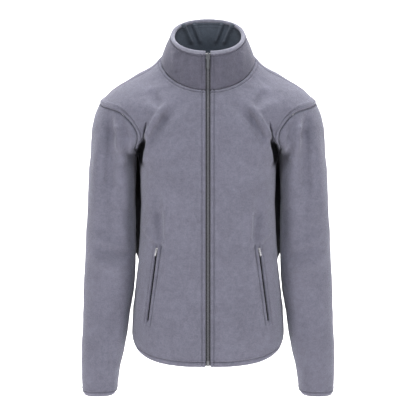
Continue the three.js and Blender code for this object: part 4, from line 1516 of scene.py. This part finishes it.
def place_seen_at(x, z):
    """Turn and side height of front points that are seen at x and z, by halving."""
    low = np.full_like(x, HEM_HEIGHT)
    high = np.full_like(x, SHOULDER_TIP_HEIGHT)
    for _ in range(40):
        middle = (low + high) / 2
        ring = body_ring_at(middle)
        turn = turn_at_x(ring, x)
        below = ring_point(ring, turn)[0][..., 2] < z
        low = np.where(below, middle, low)
        high = np.where(below, high, middle)
    return turn, (low + high) / 2


def pocket_places(beside, low_share, high_share, count):
    """Places on the front along the pocket line, moved to its outer side."""
    top, foot = np.array(POCKET_TOP), np.array(POCKET_FOOT)
    run = (foot - top) / np.linalg.norm(foot - top)
    share = np.linspace(low_share, high_share, count)[:, None]
    outer = np.array([-run[1], run[0]])
    seen = top + (foot - top) * share + outer * np.broadcast_to(beside, count)[:, None]
    return place_seen_at(seen[:, 0], seen[:, 1])


def build_pockets():
    """Tape, coil and metal of the two pockets."""
    for side, mirror in (("left", False), ("right", True)):
        places = pocket_places(0.0, 0.01, 0.99, 60)
        line, normals = body_surface(*places), body_normal(*places)
        tape_points, tape_quads = strip_mesh(line, normals, -9.5, 9.5, 4.9, 5.5)
        coil_line, coil_normals = resampled(line, normals, 1.5)
        coil_points, coil_quads = coil_mesh(coil_line, coil_normals, 1.6, 3.6, 0.9)
        if mirror:
            tape_points = mirror_points(tape_points)
            coil_points = mirror_points(coil_points)
        tape = new_piece(
            f"pocket_zip_tape_{side}", tape_points, outward_quads(tape_points, tape_quads),
            material_named("zip_tape"),
        )
        coil = new_piece(
            f"pocket_coil_{side}", coil_points, outward_quads(coil_points, coil_quads),
            material_named("zip_tape"),
        )
        for piece, node, slot in (
            (tape, f"pocket_tape_{side}", "tape"), (coil, f"pocket_chain_{side}", "coil"),
        ):
            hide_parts(node)
            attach(piece, "garment")
        dress_node(f"pocket_slider_{side}")
        dress_node(f"pocket_pull_{side}")


def thread_line(cloth, *places):
    """A line of thread on a cloth face, let into it by half its own width."""
    points, normals = cloth(*places)
    return points + normals * THREAD_LIFT, normals


def inset(surface, normal, u, v, inner_u, inner_v, distance):
    """Places on a surface at a distance from a line on it, on the side of the inner
    places: each point moves square to the line, then settles back onto the surface by
    solving its two slopes for the remaining step."""
    start = surface(u, v)
    run = unit(np.gradient(start, axis=0))
    square = unit(np.cross(normal(u, v), run))
    inward = surface(inner_u, inner_v) - start
    square = square * np.sign(np.einsum("ij,ij->i", square, inward))[:, None]
    target = start + square * distance
    u_step = 1e-3
    v_step = np.where(v < (HEM_HEIGHT + NECK_HEIGHT) / 2, 0.5, -0.5)
    for _ in range(5):
        here = surface(u, v)
        across = (surface(u + u_step, v) - here) / u_step
        upward = (surface(u, v + v_step) - here) / v_step[:, None]
        left = target - here
        a = np.einsum("ij,ij->i", across, across)
        b = np.einsum("ij,ij->i", across, upward)
        c = np.einsum("ij,ij->i", upward, upward)
        p = np.einsum("ij,ij->i", across, left)
        q = np.einsum("ij,ij->i", upward, left)
        size = np.maximum(a * c - b * b, 1e-9)
        u = u + (p * c - q * b) / size
        v = np.clip(v + (q * a - p * b) / size, HEM_HEIGHT, NECK_HEIGHT)
    return u, v


def build_stitching():
    """Topstitching of every seam, one piece for the long seams and one for the armholes
    and pockets."""
    heights = np.linspace(HEM_HEIGHT + 4, NECK_HEIGHT - 2, 300)
    turns = turn_at_x(body_ring_at(heights), FRONT_EDGE_X + ZIP_STITCH)
    far = np.full_like(heights, NO_EDGE)
    beside_zip = np.full_like(heights, ZIP_STITCH)
    lines = [thread_line(body_cloth, turns, heights, beside_zip, far)]
    rises = np.linspace(0.02, 0.86, 80)
    turns = turn_at_x(collar_ring_at(rises), FRONT_EDGE_X + ZIP_STITCH)
    lines.append(thread_line(collar_cloth, turns, rises))
    turns = np.linspace(0.09, math.pi - 0.001, 300)
    rises = np.full_like(turns, 1 - RIM_STITCH / COLLAR_HEIGHT)
    lines.append(thread_line(collar_cloth, turns, rises))
    seams = ((NECK_HEIGHT, -12.0, NECK_STITCH), (HEM_HEIGHT, HEM_HEIGHT + 14, HEM_STITCH))
    for level, inner, distance in seams:
        for low, high in ((0.05, math.pi / 2 - 0.02), (math.pi / 2 + 0.02, math.pi - 0.001)):
            turns = np.linspace(low, high, 240)
            u, v = inset(
                body_surface, body_normal, turns, np.full_like(turns, level), turns,
                np.full_like(turns, inner), distance,
            )
            far = np.full_like(u, NO_EDGE)
            lines.append(thread_line(body_cloth, u, v, far, far))
    around = np.linspace(0, 1, 300)
    cuff = np.full_like(around, 2 - CUFF_STITCH / (SLEEVE_TOP_LEVEL - CUFF_LEVEL))
    lines.append(thread_line(sleeve_cloth, around, cuff))
    stitch_piece("topstitching_body", lines, both=True)
    lines = []
    for low, high, inward_turn in ((0.03, 0.485, 20), (0.515, 0.97, 160)):
        turn, height = armhole_place(np.linspace(low, high, 240))
        u, v = inset(
            body_surface, body_normal, turn, height, np.full_like(turn, inward_turn * DEGREE),
            height, ARMHOLE_STITCH,
        )
        far = np.full_like(u, NO_EDGE)
        lines.append(thread_line(body_cloth, u, v, far, far))
    outer = (POCKET_OUTER_STITCH, POCKET_OUTER_STITCH)
    for first, last in (POCKET_INNER_STITCH, outer):
        turn, height = pocket_places(np.linspace(first, last, 90), -0.02, 1.02, 90)
        far = np.full_like(turn, NO_EDGE)
        lines.append(thread_line(body_cloth, turn, height, far, far))
    stitch_piece("topstitching_armholes_and_pockets", lines, both=True)


LIGHT_COLUMNS = ("name", "place", "target", "size", "power", "colour")
LIGHTS = (
    ("left_light", (-2.3, -1.7, 0.1), (0, 0, -0.4), 1.0, 42, (1, 0.985, 0.99)),
    ("right_light", (2.3, -1.7, 0.1), (0, 0, -0.4), 1.0, 42, (1, 0.985, 0.99)),
    ("key_light", (0, -1.6, 1.7), (0, 0, -0.35), 0.5, 34, (0.88, 0.94, 1)),
    ("backdrop_light", (0, 0.9, 2.6), (0, 3.0, -0.4), 2.4, 200, (1, 1, 1)),
)
WORLD_STRENGTH = 0.1

# The sweep behind and under the jacket, in millimetres
SWEEP_HALF_WIDTH = 7000
SWEEP_FLOOR = -1150
SWEEP_START = -7000
SWEEP_TURN = 2200
SWEEP_RADIUS = 900
SWEEP_TOP = 6500


def add_light(name, place, target, size, power, colour):
    """A round area light that points at its target."""
    light = bpy.data.lights.new(name, "AREA")
    light.shape = "DISK"
    light.size = size
    light.energy = power
    light.color = colour
    lamp = bpy.data.objects.new(name, light)
    lamp.location = place
    lamp.rotation_euler = (Vector(target) - Vector(place)).to_track_quat("-Z", "Y").to_euler()
    bpy.context.scene.collection.objects.link(lamp)


def build_sweep(colour):
    """White floor that turns up into a wall through a quarter circle."""
    angle = np.linspace(0, math.pi / 2, 13)
    profile_y = np.concatenate([
        np.linspace(SWEEP_START, SWEEP_TURN, 12)[:-1], SWEEP_TURN + SWEEP_RADIUS * np.sin(angle),
        np.full(5, SWEEP_TURN + SWEEP_RADIUS),
    ])
    profile_z = np.concatenate([
        np.full(11, SWEEP_FLOOR), SWEEP_FLOOR + SWEEP_RADIUS * (1 - np.cos(angle)),
        np.linspace(SWEEP_FLOOR + SWEEP_RADIUS, SWEEP_TOP, 6)[1:],
    ])
    along = np.linspace(-1, 1, 9) * SWEEP_HALF_WIDTH
    x, y = np.meshgrid(along, profile_y, indexing="ij")
    z = np.repeat(profile_z[None, :], len(along), axis=0)
    points = np.stack([x, y, z], axis=-1).reshape(-1, 3)
    quads = wall_faces(len(along), len(profile_y), False)[:, ::-1]
    material, shader, _, _ = principled("white_sweep")
    shader.inputs["Base Color"].default_value = (*colour, 1)
    shader.inputs["Roughness"].default_value = 0.9
    shader.inputs["Emission Color"].default_value = (1, 1, 1, 1)
    shader.inputs["Emission Strength"].default_value = 0.35
    new_piece("white_sweep", points, quads, material)


def build_stage():
    """White sweep, soft lights, the world and the camera at the viewing angle."""
    stage = bpy.context.scene.jacket_stage
    build_sweep(stage.floor_colour)
    for row in LIGHTS:
        add_light(**dict(zip(LIGHT_COLUMNS, row)))
    world = bpy.data.worlds.new("soft_room")
    world.use_nodes = True
    world.node_tree.nodes["Background"].inputs["Color"].default_value = (0.95, 0.96, 1, 1)
    world.node_tree.nodes["Background"].inputs["Strength"].default_value = WORLD_STRENGTH
    bpy.context.scene.world = world
    camera = bpy.data.cameras.new("camera")
    camera.lens = stage.lens
    camera.sensor_width = 36
    camera.clip_end = 50
    eye = bpy.data.objects.new("camera", camera)
    target = Vector((0, 0, -0.33))
    away = Vector((0, -math.cos(stage.elevation), math.sin(stage.elevation)))
    eye.location = target + away * stage.distance
    eye.rotation_euler = (-away).to_track_quat("-Z", "Y").to_euler()
    bpy.context.scene.collection.objects.link(eye)
    bpy.context.scene.camera = eye
    bpy.context.scene.view_settings.view_transform = "Standard"


class JACKET_OT_fronts(bpy.types.Operator):
    """Builds the two front panels"""

    bl_idname = "jacket.fronts"
    bl_label = "Front panels"

    def execute(self, context):
        build_front("left", False)
        build_front("right", True)
        return {"FINISHED"}


class JACKET_OT_back(bpy.types.Operator):
    """Builds the back panel"""

    bl_idname = "jacket.back"
    bl_label = "Back panel"

    def execute(self, context):
        build_back()
        return {"FINISHED"}


class JACKET_OT_sleeves(bpy.types.Operator):
    """Builds the two sleeves"""

    bl_idname = "jacket.sleeves"
    bl_label = "Sleeves"

    def execute(self, context):
        build_sleeve("left", False)
        build_sleeve("right", True)
        return {"FINISHED"}


class JACKET_OT_collar(bpy.types.Operator):
    """Builds the collar's two layers and its rim"""

    bl_idname = "jacket.collar"
    bl_label = "Collar"

    def execute(self, context):
        build_collar()
        return {"FINISHED"}


class JACKET_OT_front_zip(bpy.types.Operator):
    """Builds the front zip"""

    bl_idname = "jacket.front_zip"
    bl_label = "Front zip"

    def execute(self, context):
        build_front_zip()
        return {"FINISHED"}


class JACKET_OT_pockets(bpy.types.Operator):
    """Builds the pocket zips"""

    bl_idname = "jacket.pockets"
    bl_label = "Pocket zips"

    def execute(self, context):
        build_pockets()
        return {"FINISHED"}


class JACKET_OT_stitching(bpy.types.Operator):
    """Builds the topstitching"""

    bl_idname = "jacket.stitching"
    bl_label = "Topstitching"

    def execute(self, context):
        build_stitching()
        return {"FINISHED"}


class JACKET_OT_stage(bpy.types.Operator):
    """Builds the floor, the lights and the camera"""

    bl_idname = "jacket.stage"
    bl_label = "Stage"

    def execute(self, context):
        build_stage()
        return {"FINISHED"}


OPERATORS = (
    JACKET_OT_fronts,
    JACKET_OT_back,
    JACKET_OT_sleeves,
    JACKET_OT_collar,
    JACKET_OT_front_zip,
    JACKET_OT_pockets,
    JACKET_OT_stitching,
    JACKET_OT_stage,
)
SETTINGS = {
    "jacket_cloth": JacketClothSettings,
    "jacket_trim": JacketTrimSettings,
    "jacket_stage": JacketStageSettings,
}


class JACKET_PT_sidebar(bpy.types.Panel):
    """Lists the jacket's settings and the steps that build it"""

    bl_label = "Fleece zip jacket"
    bl_idname = "JACKET_PT_sidebar"
    bl_space_type = "VIEW_3D"
    bl_region_type = "UI"
    bl_category = "Jacket"

    def draw(self, context):
        for name, settings in SETTINGS.items():
            group = getattr(context.scene, name)
            box = self.layout.box()
            for field in settings.__annotations__:
                box.prop(group, field)
        for operator in OPERATORS:
            self.layout.operator(operator.bl_idname)


def register():
    for kind in (*SETTINGS.values(), *OPERATORS, JACKET_PT_sidebar):
        bpy.utils.register_class(kind)
    for name, settings in SETTINGS.items():
        setattr(bpy.types.Scene, name, bpy.props.PointerProperty(type=settings))


def unregister():
    for name in SETTINGS:
        delattr(bpy.types.Scene, name)
    for kind in reversed((*SETTINGS.values(), *OPERATORS, JACKET_PT_sidebar)):
        bpy.utils.unregister_class(kind)


def main():
    register()
    for operator in OPERATORS:
        group, name = operator.bl_idname.split(".")
        getattr(getattr(bpy.ops, group), name)()
    bpy.context.view_layer.update()


if __name__ == "__main__":
    main()
